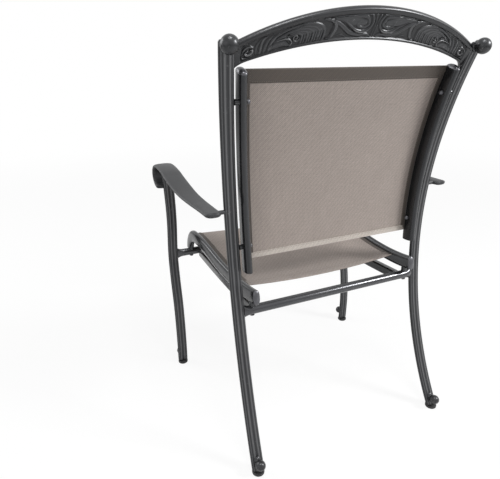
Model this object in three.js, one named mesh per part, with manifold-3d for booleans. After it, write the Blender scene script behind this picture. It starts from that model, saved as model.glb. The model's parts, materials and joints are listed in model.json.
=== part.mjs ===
// A patio armchair: a dark cast and tube frame that carries two tight fabric slings.
// Lengths are in millimetres. The sitter faces -Y, +X is the sitter's left and +Z is up.
// Places are measured from the floor point under the middle of the rear crossbar.
// The last lines move the whole chair, so that its origin lies on the floor under its middle.

import * as THREE from 'three';
import { mergeVertices } from 'three/addons/utils/BufferGeometryUtils.js';
import Module from 'manifold-3d';

const wasm = await Module();
wasm.setup();

// Space left between two pieces that touch, how far a cutting shape runs past a face, and the
// distance under which two points are one.
const gap = 0.3;
const overrun = 2;
const samePoint = 0.003;

// Fluted bar of the back posts and the front legs.
const barWidth = 29;
const barDepth = 13;
const barEndRound = 5;

// The crest's top in the middle, which the posts' tops and the back rails' tops follow.
const crestTopHeight = 985.5;
const crestHeight = 61;
const crestBottomHeight = crestTopHeight - crestHeight;

// Back post: one long arc seen from the side, with its top and foot behind the crossbar.
const postTopDrop = 64.5;
const postTop = crestTopHeight - postTopDrop;
const postBowRadius = 1083;
const postWaistHeight = 518;
const postWaistReach = 8;
const postHalfSpacing = 253.4;
const postNarrowHeight = 300;
const postTopFlare = 34;

// Ball on each post's top, and the neck that carries it.
const finialRadius = 16;
const finialDrop = 9;
const finialHeight = postTop - finialDrop;
const finialSetback = 19;
const finialNeckRadius = 9;

// Front leg: it bows forward to the knee, where the front crossbar meets it.
const legFootReach = 364;
const legKneeReach = 411;
const legTopReach = 369;
const legFootSpacing = 304;
const legKneeSpacing = 297;
const legTopSpacing = 306;
const kneeHeight = 355;

// Ball beside the foot of each leg, on a short neck.
const toeBallRadius = 12;
const toeBallHeight = 30;
const toeBallSetback = 22;
const toeNeckRadius = 7;

// Plastic glide under each leg.
const glideHeight = 8;
const glideRadius = 14.5;
const glideRound = 2;
const glideStemRadius = 3.5;
const glideStemLength = 12;

// Arm strip, level at the back, crowned towards the front and curled under in a scroll.
const armTopHeight = 604;
const armCrownRise = 33;
const armThickness = 11;
const armWidth = 50;
const armRearWidth = 35;
const armInnerEdge = 285;
const armRearReach = 12;
const armRiseStart = 87;
const armScrollReach = 45.5;
const armScrollDepth = 68;
const armTipRound = 11;
const armMortise = 3;
const armNeckRadius = 5;

// Crest rail between the posts' tops, with a sunk field on both faces.
const crestHalfSpan = 268;
const crestTopSagitta = 67;
const crestBottomSagitta = 49.5;
const crestThickness = 13;
const crestLean = THREE.MathUtils.degToRad(30);
const crestPivotRise = 70.5;
const crestPivotHeight = crestTopHeight - crestPivotRise;
const crestTopRim = 11;
const crestBottomRim = 6;
const crestEndRim = 9;
const crestFieldDepth = 3;
const crestFillet = 12;

// Round crossbars. Their ends flare up and down and thin to the bars' depth where they meet them.
const crossbarRadius = 11;
const crossbarWall = 2;
const crossbarFlare = 5;
const crossbarFlareLength = 18;
const rearCrossbarHeight = 360;
const frontCrossbarHeight = 355;

// Pair of side stretchers that run from crossbar to crossbar under the seat rails.
const stretcherWidth = 20;
const stretcherHeight = 22;
const stretcherInset = 88;
const stretcherSpacing = legKneeSpacing - stretcherInset;
const stretcherDrop = 7;
const stretcherSag = 4;
const stretcherRound = 3;

// Both kinds of sling rail are one oval tube, thin from side to side and deep across the sling.
const railWidth = 17;
const railDepth = 36;
const railWall = 2;

// Seat rails, which end in a waterfall nose at the front.
const seatRailRearSpacing = 218.7;
const seatRailFrontInset = 57;
const seatRailFrontSpacing = legKneeSpacing - seatRailFrontInset;
const seatRailRearReach = 25;
const seatRailLowHeight = 392.5;
const seatRailCrownHeight = 416;
const seatNoseRadius = 55;
const seatNoseOverhang = 5;
const seatNoseReach = legKneeReach + seatNoseOverhang;

// Back rails, inside the posts: the lower end stands behind the post's line, the top before it.
const backRailBottom = 457;
const backRailTopGap = 56.5;
const backRailTop = crestBottomHeight - backRailTopGap;
const backRailLowInset = 28.5;
const backRailHighInset = 30.5;
const backRailLowSetback = 6;
const backRailHighSetback = -4;

// Fabric slings, their edges' place on the tubes, and the seat's sag in the middle.
const slingThickness = 1.6;
const slingEdgeGap = 0.5;
const backSlingBottom = 481;
const backSlingOverRail = 6;
const backSlingTop = backRailTop + backSlingOverRail;
const backSlingForward = 11;
const seatSlingRearStart = 38;
const seatSlingRise = 8;
const seatSlingFrontEnd = 14;
const seatSlingSag = 11;

// Studs, collars and dome nuts that hold the back rails to the posts.
const lowStudHeight = 514;
const highStudDrop = 50;
const highStudHeight = backRailTop - highStudDrop;
const studSetback = 2;
const studRadius = 2.5;
const studSocketDepth = 9;
const collarRadius = 6;
const nutRadius = 5;
const nutHeight = 8;
const nutBore = 5;

// Bolts, nuts and spacers that hold the seat rails to the crossbars.
const boltRadius = 3;
const boltHeadRadius = 6;
const boltHeadHeight = 4;
const spacerRadius = 7;
const innerNutRadius = 4.8;
const innerNutHeight = 5;
const insertLength = 14;
const insertSetback = 4;

// Domed plugs in the open ends of the tubes.
const plugStemLength = 12;
const railDomeHeight = 9;
const seatDomeHeight = 7;
const footPlugHeight = 3;

// Numbers of rings, sides and steps.
const postRings = 13;
const legRings = 12;
const roundSteps = 2;
const domeSteps = 5;
const tubeSides = 12;
const railSides = 16;
const cutterSides = 24;
const fastenerSides = 8;
const crossbarFlareSteps = 3;
const backRailSteps = 8;
const seatRailSteps = 8;
const seatNoseSteps = 8;
const stretcherSteps = 6;
const insertSteps = 3;
const armSides = 12;
const armTipSteps = 3;
const armSteps = 32;
const armLevelSteps = 6;
const armScrollSteps = 10;
const crestSteps = 20;
const ballSides = 12;
const ballRings = 8;
const sheetColumns = 6;
const backSheetRows = 8;
const seatSheetRows = 18;
const finestShare = 1e-7;

// Quarter outline of the fluted bar, from the groove down its broad face to its narrow side,
// as shares of half its width and half its depth.
const fluteShares = [[0, 0.8], [0.13, 0.98], [0.5, 1], [0.78, 0.84], [0.95, 0.46], [1, 0]];

// The leg's line: share of the way up, then shares of the way out and of the reach forward.
const lowerLegShares = [[0, 0, 0], [0.28, 0.06, -0.07], [0.56, 0.22, 0.1], [0.8, 0.55, 0.61]];
const upperLegShares = [[0, 0, 0], [0.36, -0.2, 0.235], [0.62, 0.29, 0.706], [1, 1, 1]];

// The arm's line between its level stretch and its scroll: share forward, share of the rise.
const armRiseShares = [[0.226, 0.09], [0.444, 0.36], [0.625, 0.64], [0.747, 0.85], [0.889, 0.985]];

// The seat rail's line up to its crown: share forward, share of the height from low to crown.
const seatLineShares = [
  [0, 0.33],
  [0.09, 0.14],
  [0.22, 0],
  [0.4, 0.04],
  [0.58, 0.29],
  [0.74, 0.66],
  [0.88, 0.93],
  [1, 1],
];

// Powers of the superellipses that round the arm strip and the rails, and how far the seat's
// sag has faded at the nose.
const armSquareness = 2.6;
const railSquareness = 2.5;
const sagFadeShare = 0.6;

const metal = { color: 0x4a4b4f, roughness: 0.42, metalness: 0.85 };
const brightMetal = { color: 0x74757a, roughness: 0.3, metalness: 0.9 };
const fabric = { color: 0x8c827d, roughness: 0.85, metalness: 0 };
const plastic = { color: 0x151517, roughness: 0.55, metalness: 0 };

// Positions alone, with the shared points of neighbouring faces merged.
function bare(geometry) {
  geometry.deleteAttribute('normal');
  geometry.deleteAttribute('uv');
  return mergeVertices(geometry, samePoint);
}

// Six times the volume inside the faces: it is negative where they point inwards.
function signedVolume(geometry) {
  const place = geometry.getAttribute('position');
  const index = geometry.getIndex();
  const corner = (n) => new THREE.Vector3().fromBufferAttribute(place, index.getX(n));
  let sum = 0;
  for (let n = 0; n < index.count; n += 3) {
    sum += corner(n).dot(corner(n + 1).cross(corner(n + 2)));
  }
  return sum;
}

function turnInsideOut(geometry) {
  const index = geometry.getIndex();
  for (let n = 0; n < index.count; n += 3) {
    const first = index.getX(n);
    index.setX(n, index.getX(n + 1));
    index.setX(n + 1, first);
  }
  return geometry;
}

function facingOut(geometry) {
  const closed = bare(geometry);
  return signedVolume(closed) < 0 ? turnInsideOut(closed) : closed;
}

function toSolid(geometry) {
  const closed = facingOut(geometry);
  const vertProperties = new Float32Array(closed.getAttribute('position').array);
  const triVerts = new Uint32Array(closed.getIndex().array);
  return new wasm.Manifold(new wasm.Mesh({ numProp: 3, vertProperties, triVerts }));
}

function toGeometry(solid) {
  const mesh = solid.getMesh();
  const geometry = new THREE.BufferGeometry();
  geometry.setAttribute('position', new THREE.BufferAttribute(new Float32Array(mesh.vertProperties), 3));
  geometry.setIndex(new THREE.BufferAttribute(new Uint32Array(mesh.triVerts), 1));
  return geometry;
}

function joined(first, ...others) {
  return toGeometry(others.reduce((solid, other) => solid.add(toSolid(other)), toSolid(first)));
}

function cut(first, ...cutters) {
  return toGeometry(cutters.reduce((solid, cutter) => solid.subtract(toSolid(cutter)), toSolid(first)));
}

function mirrored(geometry) {
  return turnInsideOut(geometry.clone().scale(-1, 1, 1));
}

// Joins rings of points into one closed body, with both ends filled along the given outline.
function loft(rings, outline) {
  const sides = outline.length;
  const places = rings.flat().flatMap((point) => [point.x, point.y, point.z]);
  const index = [];
  for (let ring = 0; ring + 1 < rings.length; ring += 1) {
    for (let side = 0; side < sides; side += 1) {
      const here = ring * sides + side;
      const beside = ring * sides + ((side + 1) % sides);
      index.push(here, beside, beside + sides, here, beside + sides, here + sides);
    }
  }
  const last = (rings.length - 1) * sides;
  for (const [a, b, c] of THREE.ShapeUtils.triangulateShape(outline, [])) {
    index.push(a, c, b, last + a, last + b, last + c);
  }
  const geometry = new THREE.BufferGeometry();
  geometry.setAttribute('position', new THREE.Float32BufferAttribute(places, 3));
  geometry.setIndex(index);
  return geometry;
}

// Outline of the fluted bar, with half its width and depth given.
function fluteOutline(halfWidth, halfDepth) {
  const quarter = [...fluteShares].reverse();
  const half = [...quarter, ...fluteShares.slice(1).map(([x, y]) => [-x, y])];
  const whole = [...half, ...half.slice(1, -1).map(([x, y]) => [x, -y]).reverse()];
  return whole.map(([x, y]) => new THREE.Vector2(x * halfWidth, y * halfDepth));
}

// Outline of a superellipse with the given half width and half height.
function ovalOutline(sides, halfWidth, halfHeight, power) {
  const bend = (value) => Math.sign(value) * Math.abs(value) ** (2 / power);
  return Array.from({ length: sides }, (_, side) => {
    const angle = ((side + 1 / 2) / sides) * Math.PI * 2;
    return new THREE.Vector2(halfWidth * bend(Math.cos(angle)), halfHeight * bend(Math.sin(angle)));
  });
}

// Heights of a bar's level rings, with how far each is drawn in to round the bar's ends.
function barLevels(bottom, top, count, topRound) {
  const levels = [];
  for (let step = 0; step < roundSteps; step += 1) {
    const angle = ((step + 1) / (roundSteps + 1)) * (Math.PI / 2);
    levels.push([bottom + barEndRound * (1 - Math.cos(angle)), barEndRound * (1 - Math.sin(angle))]);
  }
  const first = bottom + barEndRound;
  const last = top - topRound;
  for (let ring = 0; ring <= count; ring += 1) {
    levels.push([first + ((last - first) * ring) / count, 0]);
  }
  for (let step = 1; step <= roundSteps && topRound > 0; step += 1) {
    const angle = (step / roundSteps) * (Math.PI / 2);
    levels.push([last + topRound * Math.sin(angle), topRound * (1 - Math.cos(angle))]);
  }
  return levels;
}

// A fluted bar along a line that gives x and y at each height. Its rings lie level,
// so each is stretched from back to front by the slope of the line there.
function flutedBar(levels, lineAt, clearance) {
  const halfWidth = barWidth / 2 + clearance;
  const outline = fluteOutline(halfWidth, barDepth / 2 + clearance);
  const rings = levels.map(([height, inset]) => {
    const [x, y] = lineAt(height);
    const slope = (lineAt(height + gap)[1] - lineAt(height - gap)[1]) / (gap + gap);
    const share = 1 - inset / halfWidth;
    const stretch = share * Math.hypot(1, slope);
    return outline.map((point) => new THREE.Vector3(x + point.x * share, y + point.y * stretch, height));
  });
  return loft(rings, outline);
}

function postLine(height) {
  const climb = (height - postNarrowHeight) / (postTop - postNarrowHeight);
  const rise = height - postWaistHeight;
  const bow = postBowRadius - Math.sqrt(postBowRadius ** 2 - rise ** 2);
  return [postHalfSpacing + postTopFlare * climb ** 2, bow - postWaistReach];
}

// The front leg's line as a smooth curve through the named places and the shares between them.
function makeLegLine() {
  const top = armTopHeight + armCrownRise;
  const between = (from, to, share) => from + (to - from) * share;
  const lower = lowerLegShares.map(([up, out, forward]) => [
    kneeHeight * up,
    between(legFootSpacing, legKneeSpacing, out),
    -between(legFootReach, legKneeReach, forward),
  ]);
  const upper = upperLegShares.map(([up, out, forward]) => [
    between(kneeHeight, top, up),
    between(legKneeSpacing, legTopSpacing, out),
    -between(legKneeReach, legTopReach, forward),
  ]);
  const rows = [...lower, ...upper];
  const heights = rows.map(([height]) => height);
  const places = rows.flatMap(([, x, y]) => [x, y]);
  const curve = new THREE.CubicInterpolant(heights, places, 2);
  return (height) => [...curve.evaluate(height)];
}

const legLine = makeLegLine();

function cylinderBetween(start, end, radius, sides) {
  const length = start.distanceTo(end);
  const along = new THREE.Vector3().subVectors(end, start).normalize();
  const turn = new THREE.Quaternion().setFromUnitVectors(new THREE.Vector3(0, 1, 0), along);
  const geometry = new THREE.CylinderGeometry(radius, radius, length, sides);
  geometry.translate(0, length / 2, 0);
  geometry.applyQuaternion(turn);
  return geometry.translate(start.x, start.y, start.z);
}

// A body turned from a profile of radius and distance, stood on a place and pointed along a line.
function turned(profile, place, along, sides) {
  const points = profile.map(([radius, distance]) => new THREE.Vector2(radius, distance));
  const geometry = new THREE.LatheGeometry(points, sides);
  const turn = new THREE.Quaternion().setFromUnitVectors(new THREE.Vector3(0, 1, 0), along);
  geometry.applyQuaternion(turn);
  return geometry.translate(place.x, place.y, place.z);
}

function ballOnNeck(centre, radius, neckStart, neckRadius) {
  const ball = new THREE.SphereGeometry(radius, ballSides, ballRings);
  ball.rotateX(Math.PI / 2);
  ball.translate(centre.x, centre.y, centre.z);
  return joined(ball, cylinderBetween(neckStart, centre, neckRadius, fastenerSides));
}

function toeBall(lineAt, direction) {
  const [x, y] = lineAt(toeBallHeight);
  const centre = new THREE.Vector3(x, y + direction * toeBallSetback, toeBallHeight);
  return ballOnNeck(centre, toeBallRadius, new THREE.Vector3(x, y, toeBallHeight), toeNeckRadius);
}

const barBottom = glideHeight + gap;

function glidePlace(lineAt) {
  const [x, y] = lineAt(barBottom);
  return new THREE.Vector3(x, y, 0);
}

function glideSocket(lineAt) {
  const start = glidePlace(lineAt).setZ(0);
  const end = start.clone().setZ(barBottom + glideStemLength + gap);
  return cylinderBetween(start, end, glideStemRadius + gap, fastenerSides);
}

function makeGlide(lineAt) {
  const profile = [
    [0, 0],
    [glideRadius - glideRound, 0],
    [glideRadius, glideRound],
    [glideRadius, glideHeight],
    [glideStemRadius, glideHeight],
    [glideStemRadius, glideHeight + glideStemLength],
    [0, glideHeight + glideStemLength],
  ];
  return facingOut(turned(profile, glidePlace(lineAt), new THREE.Vector3(0, 0, 1), tubeSides));
}

function postBar(clearance) {
  return flutedBar(barLevels(barBottom, postTop, postRings, barEndRound), postLine, clearance);
}

const postCutter = postBar(gap);

const studHeights = { low: lowStudHeight, high: highStudHeight };

// The back rail's line keeps beside the post's line.
function backRailPlace(height) {
  const [x, y] = postLine(height);
  const climb = (height - backRailBottom) / (backRailTop - backRailBottom);
  const inset = THREE.MathUtils.lerp(backRailLowInset, backRailHighInset, climb);
  const setback = THREE.MathUtils.lerp(backRailLowSetback, backRailHighSetback, climb);
  return new THREE.Vector3(x - inset, y + setback, height);
}

// The stud runs level from its socket in the post, through collar and rail, into the dome nut.
function studEnds(height) {
  const rail = backRailPlace(height);
  const [postX, postY] = postLine(height);
  rail.setY(postY + studSetback);
  const outer = rail.clone().setX(postX - barWidth / 2 + studSocketDepth);
  const nutSeat = rail.clone().setX(rail.x - railWidth / 2 - gap);
  const inner = nutSeat.clone().setX(nutSeat.x - nutBore + gap);
  return { outer, nutSeat, inner };
}

function studHole(height) {
  const { outer, inner } = studEnds(height);
  return cylinderBetween(inner, outer.clone().setX(outer.x + gap), studRadius + gap, fastenerSides);
}

function makePost() {
  const [x, y] = postLine(finialHeight);
  const ball = new THREE.Vector3(x, y + finialSetback, finialHeight);
  const neck = new THREE.Vector3(x, y, finialHeight - finialRadius / 2);
  const finial = ballOnNeck(ball, finialRadius, neck, finialNeckRadius);
  const whole = joined(postBar(0), finial, toeBall(postLine, 1));
  return cut(whole, glideSocket(postLine), ...Object.values(studHeights).map(studHole));
}

// The scroll's lower end lies in a mortise in the leg's front face, right under its crown.
const armScrollEnd = armTopHeight + armCrownRise - armScrollDepth + armThickness / 2;
const armCrownY = legLine(armScrollEnd)[1] - barDepth / 2 + armMortise;

// The arm strip's middle line in the side view: level, then rising, then round the scroll,
// which is half an ellipse, to its end in the leg.
function makeArmLine() {
  const half = armThickness / 2;
  const level = armTopHeight - half;
  const upward = armScrollDepth / 2 - half;
  const place = (y, z) => new THREE.Vector3(0, y, z);
  const flat = evenShares(armLevelSteps).map((share) => {
    return place(THREE.MathUtils.lerp(armRearReach, -armRiseStart, share), level);
  });
  const rise = armRiseShares.map(([forward, up]) => {
    return place(THREE.MathUtils.lerp(-armRiseStart, armCrownY, forward), level + armCrownRise * up);
  });
  const scroll = evenShares(armScrollSteps).map((share) => {
    const angle = Math.PI * share;
    const forward = (armScrollReach - half) * Math.sin(angle);
    return place(armCrownY - forward, armScrollEnd + upward * (1 + Math.cos(angle)));
  });
  return new THREE.CatmullRomCurve3([...flat, ...rise, ...scroll], false, 'centripetal');
}

const armLine = makeArmLine();

// Shares of the arm's length: short steps at its rear end, even ones after it.
function armShares() {
  const tip = armTipRound / armLine.getLength();
  const short = evenShares(armTipSteps).map((share) => tip * share ** 2);
  const even = evenShares(armSteps).slice(1).map((share) => THREE.MathUtils.lerp(tip, 1, share));
  return [...short, ...even];
}

// The strip's width at a place along it: round corners at the rear end, then growing to the
// full width half way from the level stretch to the front.
function armWidthAt(y) {
  const fullWidthY = (armCrownY - armRiseStart - armScrollReach) / 2;
  const grown = THREE.MathUtils.smoothstep(armRearReach - y, 0, armRearReach - fullWidthY);
  const toCorner = Math.max(armTipRound - (armRearReach - y), 0);
  const missing = armTipRound - Math.sqrt(armTipRound ** 2 - toCorner ** 2);
  return THREE.MathUtils.lerp(armRearWidth, armWidth, grown) - missing * 2;
}

function armStrip(clearance) {
  const halfThickness = armThickness / 2 + clearance;
  const outline = ovalOutline(armSides, 1, halfThickness, armSquareness);
  const rings = armShares().map((share) => {
    const centre = armLine.getPointAt(share);
    const along = armLine.getTangentAt(share);
    const up = new THREE.Vector3(0, along.z, -along.y);
    const halfWidth = armWidthAt(centre.y) / 2;
    centre.addScaledVector(along, share === 1 ? clearance : 0);
    return outline.map((point) => {
      const place = centre.clone().addScaledVector(up, point.y);
      return place.setX(armInnerEdge + halfWidth + point.x * (halfWidth + clearance));
    });
  });
  return loft(rings, outline);
}

// A round neck joins the arm's inner side to the post's outer side.
function makeArm() {
  const { z } = armLine.getPoint(0);
  const [x, y] = postLine(z);
  const start = new THREE.Vector3(x + barWidth / 2 - overrun, y, z);
  const end = start.clone().setX(armInnerEdge + armTipRound);
  const neck = cylinderBetween(start, end, armNeckRadius, tubeSides);
  return cut(joined(armStrip(0), neck), postCutter);
}

function legBar(clearance) {
  const top = armTopHeight + armCrownRise - armThickness / 2;
  return flutedBar(barLevels(barBottom, top, legRings, 0), legLine, clearance);
}

function makeLeg() {
  const whole = joined(legBar(0), toeBall(legLine, -1));
  return cut(whole, glideSocket(legLine), armStrip(gap));
}

// A crossbar's place and half its length up to the line of the bars that it joins.
const crossbars = {
  rear: { height: rearCrossbarHeight, lineAt: postLine, y: postLine(rearCrossbarHeight)[1] },
  front: { height: frontCrossbarHeight, lineAt: legLine, y: legLine(frontCrossbarHeight)[1] },
};

// A round tube whose closed ends swell up and down and thin to the depth of the bars.
function crossbarBody({ height, lineAt, y }) {
  const reach = lineAt(height)[0] - barWidth / 2 + overrun;
  const round = ovalOutline(tubeSides, 1, 1, 2);
  const ring = (x) => {
    const swell = Math.max(Math.abs(x) - reach + crossbarFlareLength, 0) / crossbarFlareLength;
    const halfHeight = crossbarRadius + crossbarFlare * swell ** 2;
    const halfDepth = THREE.MathUtils.lerp(crossbarRadius, barDepth / 2, swell ** 2);
    return round.map((point) => new THREE.Vector3(x, y + point.x * halfDepth, height + point.y * halfHeight));
  };
  const far = evenShares(crossbarFlareSteps).map((share) => reach - crossbarFlareLength * share).reverse();
  const places = [...far.map((x) => -x).reverse(), ...far];
  const bore = new THREE.Vector3(far[0], y, height);
  const hollow = cylinderBetween(bore.clone().setX(-far[0]), bore, crossbarRadius - crossbarWall, tubeSides);
  return cut(facingOut(loft(places.map(ring), round)), hollow);
}

// A plain bar round a crossbar, used to cut what rests on it or butts against it.
function crossbarCutter({ height, lineAt, y }) {
  const end = new THREE.Vector3(lineAt(height)[0], y, height);
  return cylinderBetween(end.clone().setX(-end.x), end, crossbarRadius + gap, cutterSides);
}

// The seat rail's line: a low stretch, a crown, and a quarter turn down to the front crossbar.
function makeSeatRailLine() {
  const noseY = seatNoseRadius - seatNoseReach;
  const noseZ = seatRailCrownHeight - seatNoseRadius;
  const drop = frontCrossbarHeight + crossbarRadius - noseZ;
  const lastAngle = Math.acos(THREE.MathUtils.clamp(drop / seatNoseRadius, 0, 1));
  const main = seatLineShares.map(([forward, up]) => [
    THREE.MathUtils.lerp(seatRailRearReach, noseY, forward),
    THREE.MathUtils.lerp(seatRailLowHeight, seatRailCrownHeight, up),
  ]);
  const nose = evenShares(seatNoseSteps).slice(1).map((share) => [
    noseY - seatNoseRadius * Math.sin(lastAngle * share),
    noseZ + seatNoseRadius * Math.cos(lastAngle * share),
  ]);
  const places = [...main, ...nose].map(([y, z]) => {
    const share = (seatRailRearReach - y) / (seatRailRearReach + seatNoseReach);
    return new THREE.Vector3(THREE.MathUtils.lerp(seatRailRearSpacing, seatRailFrontSpacing, share), y, z);
  });
  return new THREE.CatmullRomCurve3(places, false, 'centripetal');
}

const seatRailLine = makeSeatRailLine();

// The inner size of the rails' tube, and the smaller one of what slides into it.
const boreWidth = railWidth - railWall * 2;
const boreDepth = railDepth - railWall * 2;
const slideIn = gap * 4;

// A ring of the rails' oval form about a line, at a share of its length and pushed along it.
function railRing(line, share, width, depth, push) {
  const along = line.getTangentAt(share);
  const across = new THREE.Vector3(1, 0, 0).addScaledVector(along, -along.x).normalize();
  const up = new THREE.Vector3().crossVectors(along, across);
  const centre = line.getPointAt(share).addScaledVector(along, push);
  return ovalOutline(railSides, width / 2, depth / 2, railSquareness).map((point) => {
    return centre.clone().addScaledVector(across, point.x).addScaledVector(up, point.y);
  });
}

// An oval rod along a line, with a ring at each given share of its length.
// The first and last rings are pushed outwards along the line by the run past the ends.
function rodAlong(line, shares, width, depth, runPast) {
  const rings = shares.map((share, ring) => {
    const push = (ring === 0 ? -runPast : 0) + (ring === shares.length - 1 ? runPast : 0);
    return railRing(line, share, width, depth, push);
  });
  return facingOut(loft(rings, ovalOutline(railSides, 1, 1, railSquareness)));
}

function evenShares(count) {
  return Array.from({ length: count + 1 }, (_, step) => step / count);
}

function railCutter(line, shares) {
  return rodAlong(line, shares, railWidth + gap * 2, railDepth + gap * 2, 0);
}

function tubeAlong(line, shares) {
  const outside = rodAlong(line, shares, railWidth, railDepth, 0);
  return cut(outside, rodAlong(line, shares, boreWidth, boreDepth, overrun));
}

// Shares of the seat rail's length: wide steps up to the crown, short ones round the nose.
function seatRailShares() {
  const noseShare = (seatNoseRadius * Math.PI) / 2 / seatRailLine.getLength();
  const straight = evenShares(seatRailSteps).map((share) => share * (1 - noseShare));
  const nose = evenShares(seatNoseSteps).slice(1).map((share) => 1 - noseShare * (1 - share));
  return [...straight, ...nose];
}

// Where the seat rail's line passes a given distance behind the rear crossbar's middle.
function seatRailAt(y) {
  let low = 0;
  let high = 1;
  while (high - low > finestShare) {
    const middle = (low + high) / 2;
    if (seatRailLine.getPointAt(middle).y > y) {
      low = middle;
    } else {
      high = middle;
    }
  }
  return seatRailLine.getPointAt(low);
}

const rearBoltPlace = seatRailAt(crossbars.rear.y);
const frontBoltPlace = seatRailLine.getPointAt(1).setY(crossbars.front.y);

function boltEnds(place, crossbar, top) {
  const start = new THREE.Vector3(place.x, crossbar.y, crossbar.height - crossbarRadius - gap);
  return { start, end: start.clone().setZ(top) };
}

function boltHole(ends) {
  const start = ends.start.clone().setZ(ends.start.z - overrun);
  return cylinderBetween(start, ends.end.clone().setZ(ends.end.z + gap), boltRadius + gap, fastenerSides);
}

const insertBottom = frontCrossbarHeight + crossbarRadius + insertSetback;
const rearBoltTop = rearBoltPlace.z;
const frontBoltTop = insertBottom + insertLength - overrun;
const rearBolt = boltEnds(rearBoltPlace, crossbars.rear, rearBoltTop);
const frontBolt = boltEnds(frontBoltPlace, crossbars.front, frontBoltTop);

function makeCrossbar(crossbar, cutter, bolt) {
  const hole = boltHole(bolt);
  const ends = [cutter, mirrored(facingOut(cutter.clone()))];
  return cut(crossbarBody(crossbar), ...ends, hole, mirrored(facingOut(hole.clone())));
}

function makeSeatRail() {
  const tube = tubeAlong(seatRailLine, seatRailShares());
  return cut(tube, crossbarCutter(crossbars.front), boltHole(rearBolt));
}

function makeBackRailLine() {
  const heights = evenShares(backRailSteps).map((share) => {
    return THREE.MathUtils.lerp(backRailBottom, backRailTop, share);
  });
  return new THREE.CatmullRomCurve3(heights.map(backRailPlace));
}

const backRailLine = makeBackRailLine();

function makeBackRail() {
  const tube = tubeAlong(backRailLine, evenShares(backRailSteps));
  return cut(tube, ...Object.values(studHeights).map(studHole));
}

// A plug for an open rail end: a stem in the bore and a dome, or a low button, over the end.
function makePlug(line, end, domeHeight) {
  const outwards = end === 0 ? -1 : 1;
  const ring = (width, depth, push) => railRing(line, end, width, depth, push * outwards);
  const stem = [boreWidth - gap * 2, boreDepth - gap * 2];
  const dome = evenShares(domeSteps).slice(0, -1).map((share) => {
    const angle = (share * Math.PI) / 2;
    const size = Math.cos(angle);
    return ring(railWidth * size, railDepth * size, gap + domeHeight * Math.sin(angle));
  });
  const rings = [ring(...stem, -plugStemLength), ring(...stem, gap), ...dome];
  return facingOut(loft(rings, ovalOutline(railSides, 1, 1, railSquareness)));
}

// The collar fills the space between post and rail round the stud.
function makeCollar(height) {
  const { outer, nutSeat } = studEnds(height);
  const middle = nutSeat.clone().setX(backRailPlace(height).x);
  const body = cylinderBetween(middle, outer, collarRadius, tubeSides);
  return cut(body, railCutter(backRailLine, evenShares(backRailSteps)), postCutter, studHole(height));
}

function makeStud(height) {
  const { outer, inner } = studEnds(height);
  return cylinderBetween(inner, outer, studRadius, fastenerSides);
}

function makeDomeNut(height) {
  const { nutSeat } = studEnds(height);
  const bore = studRadius + gap;
  const skirt = nutHeight - nutRadius;
  const profile = [[0, nutBore], [bore, nutBore], [bore, 0], [nutRadius, 0], [nutRadius, skirt]];
  for (let step = 1; step < roundSteps; step += 1) {
    const angle = (step / roundSteps) * (Math.PI / 2);
    profile.push([nutRadius * Math.cos(angle), skirt + nutRadius * Math.sin(angle)]);
  }
  profile.push([0, nutHeight]);
  return facingOut(turned(profile, nutSeat, new THREE.Vector3(-1, 0, 0), fastenerSides));
}

function makeBolt({ start, end }) {
  const length = end.z - start.z;
  const profile = [
    [0, -boltHeadHeight],
    [boltHeadRadius / 2, -boltHeadHeight],
    [boltHeadRadius, -boltHeadHeight / 2],
    [boltHeadRadius, 0],
    [boltRadius, 0],
    [boltRadius, length],
    [0, length],
  ];
  return facingOut(turned(profile, start, new THREE.Vector3(0, 0, 1), fastenerSides));
}

// The spacer stands on the rear crossbar and carries the seat rail.
function makeSeatSpacer() {
  const bottom = rearBolt.start.clone().setZ(rearCrossbarHeight);
  const body = cylinderBetween(bottom, rearBolt.end, spacerRadius, tubeSides);
  const rail = railCutter(seatRailLine, seatRailShares());
  return cut(body, rail, crossbarCutter(crossbars.rear), boltHole(rearBolt));
}

// Half the depth of an oval at a place across it.
function ovalReach(across, width, depth) {
  const share = (across * 2) / width;
  return (depth / 2) * (1 - share ** railSquareness) ** (1 / railSquareness);
}

// Nut inside the seat rail, seated where the tube's lower wall is wide enough for it.
function makeInnerNut() {
  const drop = ovalReach(innerNutRadius + slideIn / 2, boreWidth, boreDepth);
  const ahead = seatRailAt(rearBoltPlace.y + innerNutRadius).z;
  const behind = seatRailAt(rearBoltPlace.y - innerNutRadius).z;
  const seat = rearBolt.start.clone().setZ(rearBoltPlace.z - drop + Math.abs(ahead - behind) / 2 + gap);
  const bore = boltRadius + gap;
  const outline = [[bore, 0], [innerNutRadius, 0], [innerNutRadius, innerNutHeight], [bore, innerNutHeight]];
  const profile = [...outline, outline[0]];
  return facingOut(turned(profile, seat, new THREE.Vector3(0, 0, 1), fastenerSides));
}

// Threaded insert in the seat rail's front end, for the front bolt.
function makeInsert() {
  const total = seatRailLine.getLength();
  const shares = evenShares(insertSteps).map((share) => {
    return 1 - (insertSetback + insertLength * (1 - share)) / total;
  });
  const body = rodAlong(seatRailLine, shares, boreWidth - slideIn, boreDepth - slideIn, 0);
  return cut(body, boltHole(frontBolt), crossbarCutter(crossbars.front));
}

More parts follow.
